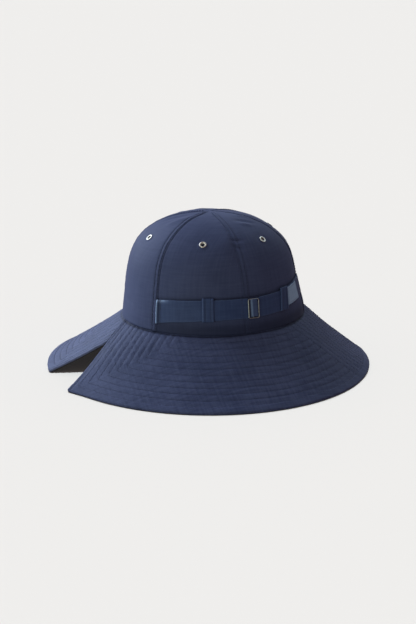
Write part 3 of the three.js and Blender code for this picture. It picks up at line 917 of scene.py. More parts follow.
def flap_edge(across):
    """The neck flap's edge as a turn from the back: beside the front brim first, then on its own way."""
    radius = mix(HEAD.half_width, RIM.half_width, across)
    beside = 180 - front_edge(across) - np.degrees(SLIT.gap / radius)
    start = 180 - front_edge(SLIT.opens)
    free = slit_turn(np.maximum(across, SLIT.opens), SLIT.opens, start, 180 - SLIT.flap_rim)
    return np.where(across <= SLIT.opens, beside, free)


# The line that the rows of stitches follow beside a slit goes from row_from, a share of the way out, to
# the rim.
# The neck flap's cloth is made paler with painted light.
BRIM_PARTS = {
    "front_brim": Sizes(middle=0, edge=front_edge, row_from=0.0, fan=True, bleached=0.0, node="brim_front"),
    "neck_flap": Sizes(middle=180, edge=flap_edge, row_from=SLIT.opens, fan=False, bleached=0.06,
                       node="brim_flap"),
}
print("edge of the front brim in degrees, head and rim:", front_edge(0.0), front_edge(1.0))

# %% Rows of stitches on the flat cut


def slit_line(part):
    """A slit's edge on the flat cut: a point on it, its way outward and the way into the cloth."""
    start = flat_place(float(part.edge(part.row_from)), part.row_from)
    end = flat_place(float(part.edge(1.0)), 1.0)
    way = unit(end - start)
    inward = np.array([-way[1], way[0]])
    middle = flat_place(0.0, 0.5)
    return start, way, inward * np.sign((middle - start) @ inward)


def from_slit(part, turn, across):
    """Distance in the cloth from the nearer slit."""
    start, _, inward = slit_line(part)
    return (flat_place(np.abs(turn), across) - start) @ inward


def nearest_row(distance, rows):
    """Distance to the nearest of evenly spaced rows."""
    index = np.clip(np.round((distance - rows.first) / rows.pitch), 0, rows.count)
    return np.abs(distance - rows.first - index * rows.pitch)


def row_distance(part, turn, across):
    """Distance of each point of the brim from the nearest row of stitches."""
    rim, slit = (1 - across) * SLANT, from_slit(part, turn, across)
    nearest = nearest_row(np.minimum(rim, slit), ROWS)
    if part.fan:
        fan = np.minimum(nearest_row(slit, FAN), np.abs(rim - ROWS.first))
        fan = np.where(slit < FAN_REACH, fan, np.minimum(nearest_row(rim, ROWS), slit - FAN_REACH))
        fan = np.where(rim < ROWS.first, ROWS.first - rim, fan)
        nearest = np.where(turn > 0, fan, nearest)
    return np.minimum(nearest, np.abs(slit - ROWS.edge))


print("the fan of rows reaches this far from the right slit, in mm:", round(FAN_REACH, 1))

# %% Relief of the quilting
# Three numbers in brackets are a ridge: its height, the place of its middle and its width, in mm. Two
# are the start and the end of a soft step.
QUILT = Sizes(puff=0.2, beside_slit=0.34, uneven=0.6, valley=2.2, groove=0.2, needle=0.45, below=0.4)
MITRE = (-10, 6)
FADE = Sizes(least=0.1, rows=(0.3, 0.75), right=0.15, rings=55)
DRAWN = (0.13, 1.5, 2.5)
SLIT_FURROW = (-0.35, ROWS.edge, 0.7)
HEAD_FURROW = (-0.5, 0.0, 1.6)
HEM = Sizes(rise=0.35, ends=(8.5, 9.5))
PUFFS = Sizes(wave=12, seed=21)
DRAWS = Sizes(wave=6.5, seed=22)
BILLOW = Sizes(high=0.5, wave=62, seed=23)


def beside_slit(slit, rim):
    """1 where the rows run along the slit, fading to 0 where they run round the rim."""
    return 1 - smooth(*MITRE, slit - rim)


def row_strength(part, turn, slit, rim):
    """How clearly the rows show: rows beside the slit fade to the rim, rings fade to the corners."""
    if not part.fan:
        return np.ones(slit.shape)
    rows = (1 - smooth(*FADE.rows, 1 - rim / SLANT)) * np.where(turn > 0, FADE.right, 1.0)
    return mix(FADE.least, 1, mix(smooth(0, FADE.rings, slit - rim), rows, beside_slit(slit, rim)))


def brim_relief(part, turn, across, points):
    """Height of the quilting above the plain brim."""
    nearest = row_distance(part, turn, across)
    slit, rim = from_slit(part, turn, across), (1 - across) * SLANT
    full = mix(QUILT.puff, QUILT.beside_slit, beside_slit(slit, rim))
    uneven = 1 + QUILT.uneven * ripple(points, PUFFS.wave, PUFFS.seed)
    relief = full * (1 - bell(nearest, QUILT.valley)) * uneven
    relief += ridge(nearest, *DRAWN) * ripple(points, DRAWS.wave, DRAWS.seed)
    relief -= QUILT.groove * bell(nearest, QUILT.needle)
    relief *= row_strength(part, turn, slit, rim)
    relief += ridge(slit, *SLIT_FURROW) + HEM.rise * (1 - smooth(*HEM.ends, rim))
    relief += BILLOW.high * ripple(points, BILLOW.wave, BILLOW.seed)
    return relief + ridge(SLANT - rim, *HEAD_FURROW)


def brim_cloth(part, turn, across, lift=0.0):
    """Points of the finished top of the brim, and the way it faces."""
    azimuth = part.middle + turn
    plain = brim_surface(azimuth, across)
    normal = brim_normal(azimuth, across)
    relief = brim_relief(part, turn, across, plain) + lift
    return plain + normal * relief[..., None], normal


print("rows of stitches on the front brim:", ROWS.count, "and", FAN.count, "in the right-hand fan")

# %% Grid of a brim part
# Rows of points lie this far from the rim: close together at the edge, then eight from row to row.
BRIM_ROWS = np.concatenate([CLOSE, [5.2, 6.2, 7.2, 8.1], np.arange(ROWS.first, SLANT, ROWS.pitch / 8),
                            [95.2, 96.0]])
COLUMN_STEP = 1.65


def brim_grid(part):
    """Turn and across of every point of one part, close together along its edges."""
    across = 1 - BRIM_ROWS[::-1][:, None] / SLANT
    radius = mix(HEAD.half_width, RIM.half_width, across)
    rim = (1 - across) * SLANT
    corner = edge_roll(rim, EDGE.corner)
    half = np.radians(part.edge(across)) * radius - corner
    near = np.array(CLOSE)[None, :]
    count = int(np.radians(part.edge(1.0)) * RIM.half_width / COLUMN_STEP)
    inner = mix(CLOSE[-1], half, np.linspace(0, 1, count + 1)[None, 1:])
    distance = np.concatenate([np.broadcast_to(near, (len(across), len(CLOSE))), inner], 1)
    left = -(half - distance)
    columns = np.concatenate([left, -left[:, -2::-1]], 1)
    return np.degrees(columns / radius), np.broadcast_to(across, columns.shape)


def free_edge(part, turn, across):
    """Distance from the nearest folded edge, the rim or a slit."""
    radius = mix(HEAD.half_width, RIM.half_width, across)
    rim = (1 - across) * SLANT
    half = np.radians(part.edge(across)) * radius - edge_roll(rim, EDGE.corner)
    return np.minimum(rim, half - np.radians(np.abs(turn)) * radius)


print("rows of points from rim to head line:", len(BRIM_ROWS))

# %% Build the two layers of each brim part
# Three numbers in brackets are a strength from 0 to 1, the place of its middle and its width in mm.
BETWEEN = 0.02
ABOVE_FLOOR = 0.02
# Painted shade in the needle lines, beside the slit and at the seam to the crown.
ROW_SHADE = Sizes(dark=0.2, wide=0.7, from_rim=(10, 13))
SLIT_SHADE = (0.5, ROWS.edge, 0.8)
CROWN_SHADE = (0.9, 0.0, 1.3)
# Painted highlight on the hem's step near the rim.
RIM_PAINTED_HIGHLIGHT = (0.012, ROWS.first, 0.8)


def brim_shade(part, turn, across):
    """Painted shade in the needle lines, beside the slit and at the seam to the crown, and painted light on
    the hem's step near the rim and on the neck flap.
    """
    slit, rim = from_slit(part, turn, across), (1 - across) * SLANT
    shade = ROW_SHADE.dark * bell(row_distance(part, turn, across), ROW_SHADE.wide)
    shade = shade * smooth(*ROW_SHADE.from_rim, rim) * row_strength(part, turn, slit, rim)
    shade = np.maximum(shade, ridge(slit, *SLIT_SHADE))
    shade = np.maximum(shade, ridge(across * SLANT, *CROWN_SHADE))
    return shade, part.bleached + ridge(rim, *RIM_PAINTED_HIGHLIGHT)


def brim_layers(name, part):
    """Shell layer on top and facing below, each a closed cloth with rolled edges."""
    turn, across = brim_grid(part)
    azimuth = part.middle + turn
    plain, normal = brim_surface(azimuth, across), brim_normal(azimuth, across)
    relief = brim_relief(part, turn, across, plain)
    roll = edge_roll(np.maximum(free_edge(part, turn, across), 0), EDGE.roll) / EDGE.roll
    middle = BRIM_THICK / 2
    upper = plain + normal * (relief * (1 - roll) - roll * middle)[..., None]
    core = plain - normal * middle
    core_top = core + normal * BETWEEN
    lower = plain - normal * (BRIM_THICK - roll * middle + QUILT.below * relief * (1 - roll))[..., None]
    for sheet in (upper, core_top, core, lower):
        sheet[..., 2] = np.maximum(sheet[..., 2], ABOVE_FLOOR)
    shade, worn = brim_shade(part, turn, across)
    cut = flat_place(turn, across)
    top = cloth_piece(name, upper[:, ::-1], core_top[:, ::-1], cut[:, ::-1], SHELL, shade[:, ::-1],
                      worn=worn[:, ::-1])
    under = cloth_piece(f"{name}_facing", lower, core - normal * BETWEEN, cut, LINING, shade)
    return top, under, cut


for name, part in BRIM_PARTS.items():
    top, under, cut = brim_layers(name, part)
    layers = ((top, part.node, "shell_cloth"), (under, f"{part.node}_facing", "facing_cloth"))
    for piece, node, slot in layers:
        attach(piece, "root")
        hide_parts(node)
        print(piece.name, "faces:", len(piece.data.polygons), "cut area in m2:", round(flat_area(cut), 5))

# %% [markdown]
# ## The ribbon strap
# The strap is a 20 mm petersham ribbon that lies on the crown, is sewn into the side seams, and passes
# through the buckle over a centre bar. Its left end is folded under and stands a little proud. A table
# gives the height of both edges along the way, and the same closed wall as before makes the ribbon.

# %% Strap sizes
RIBBON_WIDTH = 20.0
STRAP = Sizes(clear=0.8, sewn=0.1, loose=((-58, -36), (30, 52)), thick=0.9, step=0.42, roll=0.45,
              inner_roll=0.499)
BUCKLE = Sizes(azimuth=2.9, width=13.3, tall=20.4, wire=1.05, bar_drop=1.0, lean=-2.0, low=0.8)
CLIMB = Sizes(top=2.4, foot=4.4, lift=1.9, narrow=1.3, narrow_from=7.6, shift=1.0)
ACROSS = np.array([0, .08, .22, .42, .7, 1.1, 1.7, 2.5, 3.5, 4.6])
BUCKLE_AT = math.radians(BUCKLE.azimuth - STRAP_EDGES[0, 0]) * HEAD.half_length
print("strap turns round the front by degrees:", round(STRAP_EDGES[-1, 0] - STRAP_EDGES[0, 0]))

# %% Surface of the strap


def across_share(width, inner=7):
    """Points across a ribbon of that width, close together at both edges, as shares of it."""
    low = ACROSS / width
    middle = np.linspace(low[-1], 1 - low[-1], inner + 2)[1:-1]
    return np.concatenate([low, middle, 1 - low[::-1]])


def strap_clear(azimuth):
    """Room under the strap, which closes towards its sewn ends."""
    left, right = STRAP.loose
    return mix(STRAP.sewn, STRAP.clear, smooth(*left, azimuth) * (1 - smooth(*right, azimuth)))


def strap_shape(azimuth, share, outside):
    """Points on the strap at a share of its height and a distance outside its inner face."""
    along = np.radians(azimuth - BUCKLE.azimuth) * HEAD.half_length - CLIMB.shift
    hump = 1 - smooth(CLIMB.top, CLIMB.foot, np.abs(along))
    narrow = CLIMB.narrow * (1 - smooth(CLIMB.foot, CLIMB.narrow_from, np.abs(along)))
    low, high = strap_edge(azimuth)
    height = mix(low + narrow, high - narrow, share)
    return crown_point(azimuth, climb_at(height), strap_clear(azimuth) + CLIMB.lift * hump + outside)


print("buckle from the strap's left end in mm:", round(BUCKLE_AT, 1))

# %% The strap, with its hump in the buckle and its folded end
# A form is a height or strength, the place of its middle and its width in mm.
FOLDED_END = Sizes(high=1.4, falls=(2.0, 3.0), roll=1.8, round=0.95)
CURL = Sizes(form=(-1.5, 5.0, 7.0), from_top=3.4, power=1.6)
BOW = Sizes(high=0.18, wave=0.12, length=9.0)
TACKS = ((-0.3, 3.4, 0.5), (-0.22, 5.2, 0.45))
# Painted shade in the tacks and beside the buckle, and painted highlights on the folded end, the hump and the
# ribbon's edges.
TACK_SHADES = ((0.6, 3.4, 0.5), (0.5, 5.2, 0.45))
BUCKLE_SHADE = (1.0, -3.9, 0.9)
PAINTED_HIGHLIGHT = Sizes(end=(0.8, 0.9, 1.1), corner=(0.75, 5.0, 6.0), corner_top=(1.0, 0.8, 1.4), fold=(0.35, -2.2, 0.7),
             hump=(0.10, 0.8, 4.0), edge=(0.08, 0.0, 0.7))


def strap_painted_light(share, width, from_end, edge):
    """Painted shade in the tacks and in the gap beside the buckle, and painted highlights on the folded end,
    its top corner, the hump and the edges.
    """
    in_buckle = from_end - BUCKLE_AT
    shade = sum(ridge(from_end, *tack) for tack in TACK_SHADES)
    shade = np.maximum(shade, ridge(in_buckle, *BUCKLE_SHADE))
    corner = ridge(from_end, *PAINTED_HIGHLIGHT.corner) * ridge((1 - share) * width, *PAINTED_HIGHLIGHT.corner_top)
    worn = ridge(from_end, *PAINTED_HIGHLIGHT.end) + corner + ridge(edge, *PAINTED_HIGHLIGHT.edge)
    return shade, worn + ridge(in_buckle, *PAINTED_HIGHLIGHT.fold) + ridge(in_buckle, *PAINTED_HIGHLIGHT.hump)


def strap_piece():
    """The ribbon with rolled edges, a raised fold at its left end and its faint lengthwise waves."""
    first, last = STRAP_EDGES[0, 0], STRAP_EDGES[-1, 0]
    ends = np.degrees(np.array([0, .1, .3, .6, 1.0]) / HEAD.half_length)
    middle = np.arange(first + ends[-1], last - ends[-1], STRAP.step)
    azimuth = np.concatenate([first + ends[:-1], middle, last - ends[::-1]])[None, :]
    share = across_share(RIBBON_WIDTH)[:, None]
    low, high = strap_edge(azimuth)
    width = high - low
    from_end = np.radians(azimuth - first) * HEAD.half_length
    edge = np.minimum(share, 1 - share) * width
    end = np.minimum(from_end, np.radians(last - azimuth) * HEAD.half_length)
    rounded_end = edge_roll(from_end, FOLDED_END.roll) * FOLDED_END.round
    roll = np.maximum(edge_roll(np.minimum(edge, end), STRAP.roll), rounded_end)
    fold = FOLDED_END.high * (1 - smooth(*FOLDED_END.falls, from_end))
    curled = np.clip(1 - (1 - share) * width / CURL.from_top, 0, 1) ** CURL.power
    bow = (BOW.wave * np.sin(from_end / BOW.length) + BOW.high) * np.sin(share * math.pi)
    outside = fold + ridge(from_end, *CURL.form) * curled + bow
    outside = outside + sum(ridge(from_end, *tack) for tack in TACKS)
    azimuth, share, outside = np.broadcast_arrays(azimuth, share, outside)
    outer = strap_shape(azimuth, share, outside + STRAP.thick - roll)
    inner = strap_shape(azimuth, share, outside + np.minimum(roll, STRAP.inner_roll) - fold)
    shade, worn = strap_painted_light(share, width, from_end, edge)
    cut = np.stack([np.broadcast_to(from_end, share.shape), share * width], -1)
    return cloth_piece("ribbon_strap", outer, inner, cut, RIBBON, shade, worn=worn), cut


strap, strap_cut = strap_piece()
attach(strap, "root")
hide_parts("strap")
print("strap length in mm:", round(float(strap_cut[..., 0].max()), 1))

# %% [markdown]
# ## Keepers and label
# Two loops of the same ribbon hold the strap down. Each is folded lengthwise, so its edges are thicker
# than its middle, and its ends are sewn to the crown just past the strap's edges. The label is a plain
# woven piece without any print, sewn flat on the strap.

# %% Keeper loops
KEEPERS = {
    "left": Sizes(azimuth=-25.2, width=11.2, skew=0.0),
    "right": Sizes(azimuth=28.8, width=11.8, skew=0.08),
}
KEEPER = Sizes(below=1.0, above=2.0, thick=1.0, clear=0.3, start=0.02, square=9, steps=61, roll=0.6,
               inner_roll=0.5, foot=0.05, inner_rise=0.96, inner_tall=0.965)
KEEPER_EDGE = np.array([0, .1, .3, .6, 1.0, 1.5, 2.1, 2.8, 3.6])
# The last two forms are painted shade in the fold's furrow and a painted highlight along the folded edges.
LOOP_FOLD = Sizes(high=0.25, rises=(0.2, 1.0), falls=(1.9, 2.7), furrow=(-0.15, 3.0, 0.5),
                  shade=(0.5, 3.0, 0.45), worn=(0.07, 0.6, 0.7))


def keeper_levels(edge, rise):
    """How far the outer and the inner face of a keeper stand from the crown."""
    folded = LOOP_FOLD.high * smooth(*LOOP_FOLD.rises, edge) * (1 - smooth(*LOOP_FOLD.falls, edge))
    folded = folded + ridge(edge, *LOOP_FOLD.furrow)
    below = STRAP.clear + STRAP.thick + KEEPER.clear
    above = below + KEEPER.thick + folded - edge_roll(edge, KEEPER.roll)
    outer = KEEPER.clear + (above - KEEPER.clear) * rise
    room = below - KEEPER.foot + edge_roll(edge, KEEPER.inner_roll)
    inner = KEEPER.foot + room * (rise * KEEPER.inner_rise)
    return outer, np.minimum(inner, outer - KEEPER.foot)


def keeper_piece(name, keeper):
    """An arch of ribbon over the strap: a superellipse from foot to foot, thick at its folded edges."""
    low, high = strap_edge(keeper.azimuth)
    low, high = low - KEEPER.below, high + KEEPER.above
    middle, half = (low + high) / 2, (high - low) / 2
    angle = np.linspace(KEEPER.start, math.pi - KEEPER.start, KEEPER.steps)[:, None]
    height = middle - half * np.sign(np.cos(angle)) * np.abs(np.cos(angle)) ** (2 / KEEPER.square)
    plain = np.linspace(KEEPER_EDGE[-1], keeper.width - KEEPER_EDGE[-1], 5)[1:-1]
    offset = np.concatenate([KEEPER_EDGE, plain, keeper.width - KEEPER_EDGE[::-1]])
    edge = np.minimum(offset, keeper.width - offset)[None, :]
    outer_out, inner_out = keeper_levels(edge, np.sin(angle) ** (2 / KEEPER.square))
    turn = np.degrees((offset[None, :] - keeper.width / 2) / HEAD.half_length)
    azimuth = keeper.azimuth + turn + keeper.skew * (height - middle)
    azimuth, height = np.broadcast_arrays(azimuth, height)
    outer = crown_point(azimuth, climb_at(height), outer_out)
    inner = crown_point(azimuth, climb_at(middle + (height - middle) * KEEPER.inner_tall), inner_out)
    path = np.cumsum(np.r_[0, np.hypot(np.diff(height[:, 0]), np.diff(outer_out[:, 0]))])
    cut = np.stack(np.broadcast_arrays(offset[None, :], path[:, None]), -1)
    return cloth_piece(name, outer, inner, cut, RIBBON, ridge(edge, *LOOP_FOLD.shade),
                       worn=ridge(edge, *LOOP_FOLD.worn)), cut


for side, keeper in KEEPERS.items():
    piece, cut = keeper_piece(f"keeper_loop_{side}", keeper)
    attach(piece, "root")
    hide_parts(f"keeper_{side}")
    print(piece.name, "faces:", len(piece.data.polygons))

# %% Woven label
# The label's shade is painted shade in the furrow round its edge.
LABEL = Sizes(start=32.6, end=47.8, skew=(0.04, -0.12), inset=0.4, droop=0.7, raised=1.3, thick=0.7,
              clear=0.15, roll=0.5, inner_roll=0.98, puff=0.12, rises=(0.5, 2.5), furrow=(-0.12, 1.5, 0.4),
              shade=(0.4, 1.5, 0.4))


def label_piece():
    """The bare label, with rolled edges, on top of the strap."""
    width = np.radians(LABEL.end - LABEL.start) * HEAD.half_length
    offset = across_share(width) * width
    share = across_share(RIBBON_WIDTH)[:, None]
    azimuth = (LABEL.start + np.degrees(offset / HEAD.half_length))[None, :]
    low, high = strap_edge(azimuth)
    low, high = low + LABEL.raised * (1 - offset / width), high - LABEL.droop * offset / width
    height = mix(low + LABEL.inset, high - LABEL.inset, share)
    leaning = azimuth + mix(*LABEL.skew, (offset / width)[None, :]) * (height - (low + high) / 2)
    level = strap_clear(leaning) + STRAP.thick + LABEL.clear
    from_side = np.minimum(offset, width - offset)[None, :]
    edge = np.minimum(np.minimum(share, 1 - share) * (high - low), from_side)
    roll = edge_roll(edge, LABEL.roll)
    puff = LABEL.puff * smooth(*LABEL.rises, edge) + ridge(edge, *LABEL.furrow)
    outer = crown_point(leaning, climb_at(height), level + LABEL.thick - roll + puff)
    inner = crown_point(leaning, climb_at(height), level + roll * LABEL.inner_roll)
    cut = np.stack([np.broadcast_to(offset[None, :], height.shape), height - low], -1)
    return cloth_piece("woven_label", outer, inner, cut, PATCH, ridge(edge, *LABEL.shade)), cut


label, label_cut = label_piece()
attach(label, "root")
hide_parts("label_patch")
print("label faces:", len(label.data.polygons))

# %% [markdown]
# ## Geometry Nodes for what repeats
# There are six eyelets and thousands of stitches, so a node tree makes one of each and sets copies on
# points. Each tree is built here in code, with named inputs for its sizes. Its result is realised and
# turned into a plain mesh at once, because instances would be lost on export.

# %% Helpers for node trees


def new_tree(name, inputs):
    """A geometry node tree with a geometry in and out and these named inputs."""
    tree = bpy.data.node_groups.new(name, "GeometryNodeTree")
    tree.interface.new_socket("Geometry", in_out="INPUT", socket_type="NodeSocketGeometry")
    tree.interface.new_socket("Geometry", in_out="OUTPUT", socket_type="NodeSocketGeometry")
    for label_text, kind in inputs.items():
        tree.interface.new_socket(label_text, in_out="INPUT", socket_type=f"NodeSocket{kind}")
    return tree, add_node(tree, "NodeGroupInput").outputs


def facing_turn(tree, facing, axis="Z", pivot="AUTO", rotation=None):
    """Rotation that points an axis along a vector."""
    links = {"Vector": facing}
    if rotation is not None:
        links["Rotation"] = rotation
    return add_node(tree, "FunctionNodeAlignRotationToVector", links=links, axis=axis,
                    pivot_axis=pivot).outputs["Rotation"]


def grown(name, points, edges, facing, tree, values, material):
    """Runs a tree on points that know which way they face, and returns the plain mesh object."""
    mesh = bpy.data.meshes.new(name)
    mesh.from_pydata((np.asarray(points) * MM).tolist(), edges, [])
    attribute = mesh.attributes.new("facing", "FLOAT_VECTOR", "POINT")
    attribute.data.foreach_set("vector", np.asarray(facing, np.float32).ravel())
    obj = bpy.data.objects.new(name, mesh)
    bpy.context.scene.collection.objects.link(obj)
    modifier = obj.modifiers.new(tree.name, "NODES")
    modifier.node_group = tree
    names = {item.name: item.identifier for item in tree.interface.items_tree if item.in_out == "INPUT"}
    for label_text, value in {**values, "Material": material}.items():
        modifier[names[label_text]] = value
    evaluated = obj.evaluated_get(bpy.context.evaluated_depsgraph_get())
    made = bpy.data.meshes.new_from_object(evaluated)
    obj.modifiers.remove(modifier)
    obj.data = made
    return obj


print("node tree helpers are ready")

# %% [markdown]
# ## Eyelets
# A rolled eyelet is a thin metal tube whose ends are curled over the cloth. A circle swept along a
# circle gives the curled lip, and a short tube gives the barrel. The tree sets one on each of six points.

# %% Eyelet tree
# Shares of the lip's height, of the inner lip's width, and of the barrel's depth, middle and radius.
TUBE = Sizes(flat=0.5, inner_lip=1.18, middle=0.15, short=0.3, radius=1.27, sides=48, lip_sides=14)


def eyelet_tree():
    """Sets a rolled eyelet on every point, turned to face out of the cloth."""
    tree, given = new_tree("rolled eyelets", {"Middle Radius": "Float", "Lip Radius": "Float",
                                              "Lip Lift": "Float", "Barrel Depth": "Float",
                                              "Material": "Material"})
    ring = add_node(tree, "GeometryNodeCurvePrimitiveCircle", {"Resolution": TUBE.sides},
                    {"Radius": given["Middle Radius"]}).outputs["Curve"]
    lip = add_node(tree, "GeometryNodeCurvePrimitiveCircle", {"Resolution": TUBE.lip_sides},
                   {"Radius": given["Lip Radius"]}).outputs["Curve"]
    rolled = add_node(tree, "GeometryNodeCurveToMesh", links={"Curve": ring, "Profile Curve": lip})
    lift = add_node(tree, "ShaderNodeCombineXYZ", links={"Z": given["Lip Lift"]}).outputs["Vector"]
    outside = add_node(tree, "GeometryNodeTransform", {"Scale": (1, 1, TUBE.flat)},
                       {"Geometry": rolled.outputs["Mesh"], "Translation": lift})
    down = add_node(tree, "ShaderNodeMath", {1: -1.0}, {0: given["Barrel Depth"]}, operation="MULTIPLY")
    drop = add_node(tree, "ShaderNodeCombineXYZ", links={"Z": down.outputs[0]}).outputs["Vector"]
    inside = add_node(tree, "GeometryNodeTransform", {"Scale": (TUBE.inner_lip, TUBE.inner_lip, TUBE.flat)},
                      {"Geometry": rolled.outputs["Mesh"], "Translation": drop})
    middle = add_node(tree, "ShaderNodeMath", {1: TUBE.middle}, {0: down.outputs[0]}, operation="MULTIPLY")
    centre = add_node(tree, "ShaderNodeCombineXYZ", links={"Z": middle.outputs[0]}).outputs["Vector"]
    short = add_node(tree, "ShaderNodeMath", {1: -TUBE.short}, {0: down.outputs[0]}, operation="MULTIPLY")
    bore = add_node(tree, "ShaderNodeMath", links={0: given["Middle Radius"], 1: given["Lip Radius"]},
                    operation="SUBTRACT").outputs[0]
    wall = add_node(tree, "ShaderNodeMath", {1: TUBE.radius}, {0: bore}, operation="MULTIPLY").outputs[0]
    sleeve = add_node(tree, "GeometryNodeMeshCylinder", {"Vertices": TUBE.sides},
                      {"Radius": wall, "Depth": short.outputs[0]}, fill_type="NONE")
    barrel = add_node(tree, "GeometryNodeTransform", links={"Geometry": sleeve.outputs["Mesh"],
                                                            "Translation": centre})
    joined = add_node(tree, "GeometryNodeJoinGeometry")
    for shape in (outside, inside, barrel):
        tree.links.new(shape.outputs["Geometry"], joined.inputs["Geometry"])
    facing = add_node(tree, "GeometryNodeInputNamedAttribute", {"Name": "facing"},
                      data_type="FLOAT_VECTOR").outputs["Attribute"]
    placed = add_node(tree, "GeometryNodeInstanceOnPoints",
                      links={"Points": given["Geometry"], "Instance": joined.outputs["Geometry"],
                             "Rotation": facing_turn(tree, facing)})
    real = add_node(tree, "GeometryNodeRealizeInstances", links={"Geometry": placed.outputs["Instances"]})
    coated = add_node(tree, "GeometryNodeSetMaterial", links={"Geometry": real.outputs["Geometry"],
                                                              "Material": given["Material"]})
    add_node(tree, "NodeGroupOutput", links={"Geometry": coated.outputs["Geometry"]})
    return tree


print("eyelet hole and flange in mm:", 2 * EYELET.hole, 2 * EYELET.flange)

# %% Set the six eyelets
LIP_LIFT = 0.35
PAST_WALL = 0.5
seats = np.array([crown_surface(p.eyelet, climb_at(EYELET.height)) for p in PANELS.values()])
ways = np.array([crown_normal(p.eyelet, climb_at(EYELET.height)) for p in PANELS.values()])
eyelets = grown("eyelets", seats, [], ways, eyelet_tree(), {
    "Middle Radius": (EYELET.flange + EYELET.hole) / 2 * MM,
    "Lip Radius": (EYELET.flange - EYELET.hole) / 2 * MM,
    "Lip Lift": LIP_LIFT * MM,
    "Barrel Depth": (CROWN.wall + PAST_WALL) * MM,
}, NICKEL)
eyelets.data.shade_smooth()
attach(eyelets, "root")
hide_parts(*[f"eyelet_{name}" for name in PANELS])
print("eyelets:", len(seats), "faces:", len(eyelets.data.polygons))

# %% [markdown]
# ## The slide buckle
# The buckle is one bent wire with a bar across its middle. A closed path with rounded corners is swept
# with a circle, and the bar is a second, straight sweep that the strap's hump hides.

# %% A wire swept along a path


def rounded_path(width, tall, corner, steps=8):
    """Points of a rectangle with round corners, anticlockwise."""
    places = []
    for turn, (x, y) in enumerate(((1, 1), (-1, 1), (-1, -1), (1, -1))):
        for step in range(steps + 1):
            angle = math.radians(90 * (turn + step / steps))
            places.append((x * (width / 2 - corner) + corner * math.cos(angle),
                           y * (tall / 2 - corner) + corner * math.sin(angle), 0.0))
    return np.array(places)


def wire(path, radius, closed, sides=16):
    """Points and faces of a wire along a path in its own plane."""
    ahead = np.roll(path, -1, 0) - np.roll(path, 1, 0)
    if not closed:
        ahead[0], ahead[-1] = path[1] - path[0], path[-1] - path[-2]
    side = np.cross(unit(ahead), (0, 0, 1))
    angle = np.linspace(0, 2 * math.pi, sides, endpoint=False)[None, :, None]
    ring = np.cos(angle) * side[:, None] + np.sin(angle) * np.array([0, 0, 1])
    points = (path[:, None] + ring * radius).reshape(-1, 3)
    count = len(path)
    faces = []
    for i in range(count if closed else count - 1):
        for j in range(sides):
            here, there = i * sides, (i + 1) % count * sides
            faces.append((here + j, there + j, there + (j + 1) % sides, here + (j + 1) % sides))
    if not closed:
        faces += [tuple(range(sides)), tuple(range((count - 1) * sides, count * sides))[::-1]]
    return points, faces


print("wire of the buckle in mm:", BUCKLE.wire)

# %% Buckle
FRAME = Sizes(narrower=0.6, lower=0.5, corner=1.4)
BAR = Sizes(thin=0.85, bend=1.8)


def buckle_wires():
    """Points and faces of the frame and its bent bar, flat on the table."""
    thick = BUCKLE.wire / 2
    frame_path = rounded_path(BUCKLE.width - BUCKLE.wire - FRAME.narrower,
                              BUCKLE.tall - BUCKLE.wire - FRAME.lower, FRAME.corner)
    points, faces = wire(frame_path + (0, 0, thick), thick, True)
    end, bend = BUCKLE.tall / 2 - thick, BUCKLE.tall / 2 - BAR.bend
    low = thick - BUCKLE.bar_drop
    bar_path = np.array([(0, -end, thick), (0, -bend, low), (0, bend, low), (0, end, thick)])
    bar_points, bar_faces = wire(bar_path, thick * BAR.thin, False)
    faces += [tuple(i + len(points) for i in face) for face in bar_faces]
    return np.concatenate([points, bar_points]), faces


def buckle_piece():
    """The frame and its bar, set against the strap and turned to the crown there."""
    points, faces = buckle_wires()
    climb = climb_at(sum(strap_edge(BUCKLE.azimuth)) / 2)
    normal = crown_normal(BUCKLE.azimuth, climb)
    turn, lean = math.radians(BUCKLE.azimuth), math.radians(BUCKLE.lean)
    up = unit(np.cross(normal, np.array([math.cos(turn), math.sin(turn), 0])))
    right = np.cross(up, normal)
    right, up = right * math.cos(lean) + up * math.sin(lean), up * math.cos(lean) - right * math.sin(lean)
    origin = crown_point(BUCKLE.azimuth, climb, STRAP.clear + STRAP.thick + GAP)
    points = origin - up * BUCKLE.low + points @ np.array([right, up, normal])
    mesh = bpy.data.meshes.new("slide_buckle")
    mesh.from_pydata((points * MM).tolist(), [], faces)
    shape = bmesh.new()
    shape.from_mesh(mesh)
    bmesh.ops.recalc_face_normals(shape, faces=shape.faces)
    shape.to_mesh(mesh)
    shape.free()
    return new_object("slide_buckle", mesh, DULL_NICKEL)


buckle = buckle_piece()
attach(buckle, "root")
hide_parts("buckle")
print("buckle faces:", len(buckle.data.polygons))

# %% Reflection card for the metal
soft_sun("metal_card", Sizes(azimuth=-50.0, elevation=65.0, strength=0.4, softness=90.0, tint="#fffdf8"),
         [eyelets], "INCLUDE")
print("the card lights only", eyelets.name)

# %% [markdown]
# ## Stitches
# A lockstitch seam shows as short thread capsules, end to end, each dipping into its needle holes. The
# tree walks along every sewing line, measures off the stitch length, and sets one capsule per step, with
# its length along the line and its flat side to the cloth. Thousands of them need few faces each.

# %% Stitch tree
STITCH = Sizes(length=2.8, thread=0.42, lift=0.12, share=0.9, least=0.88, most=1.08, sides=6, rings=4)


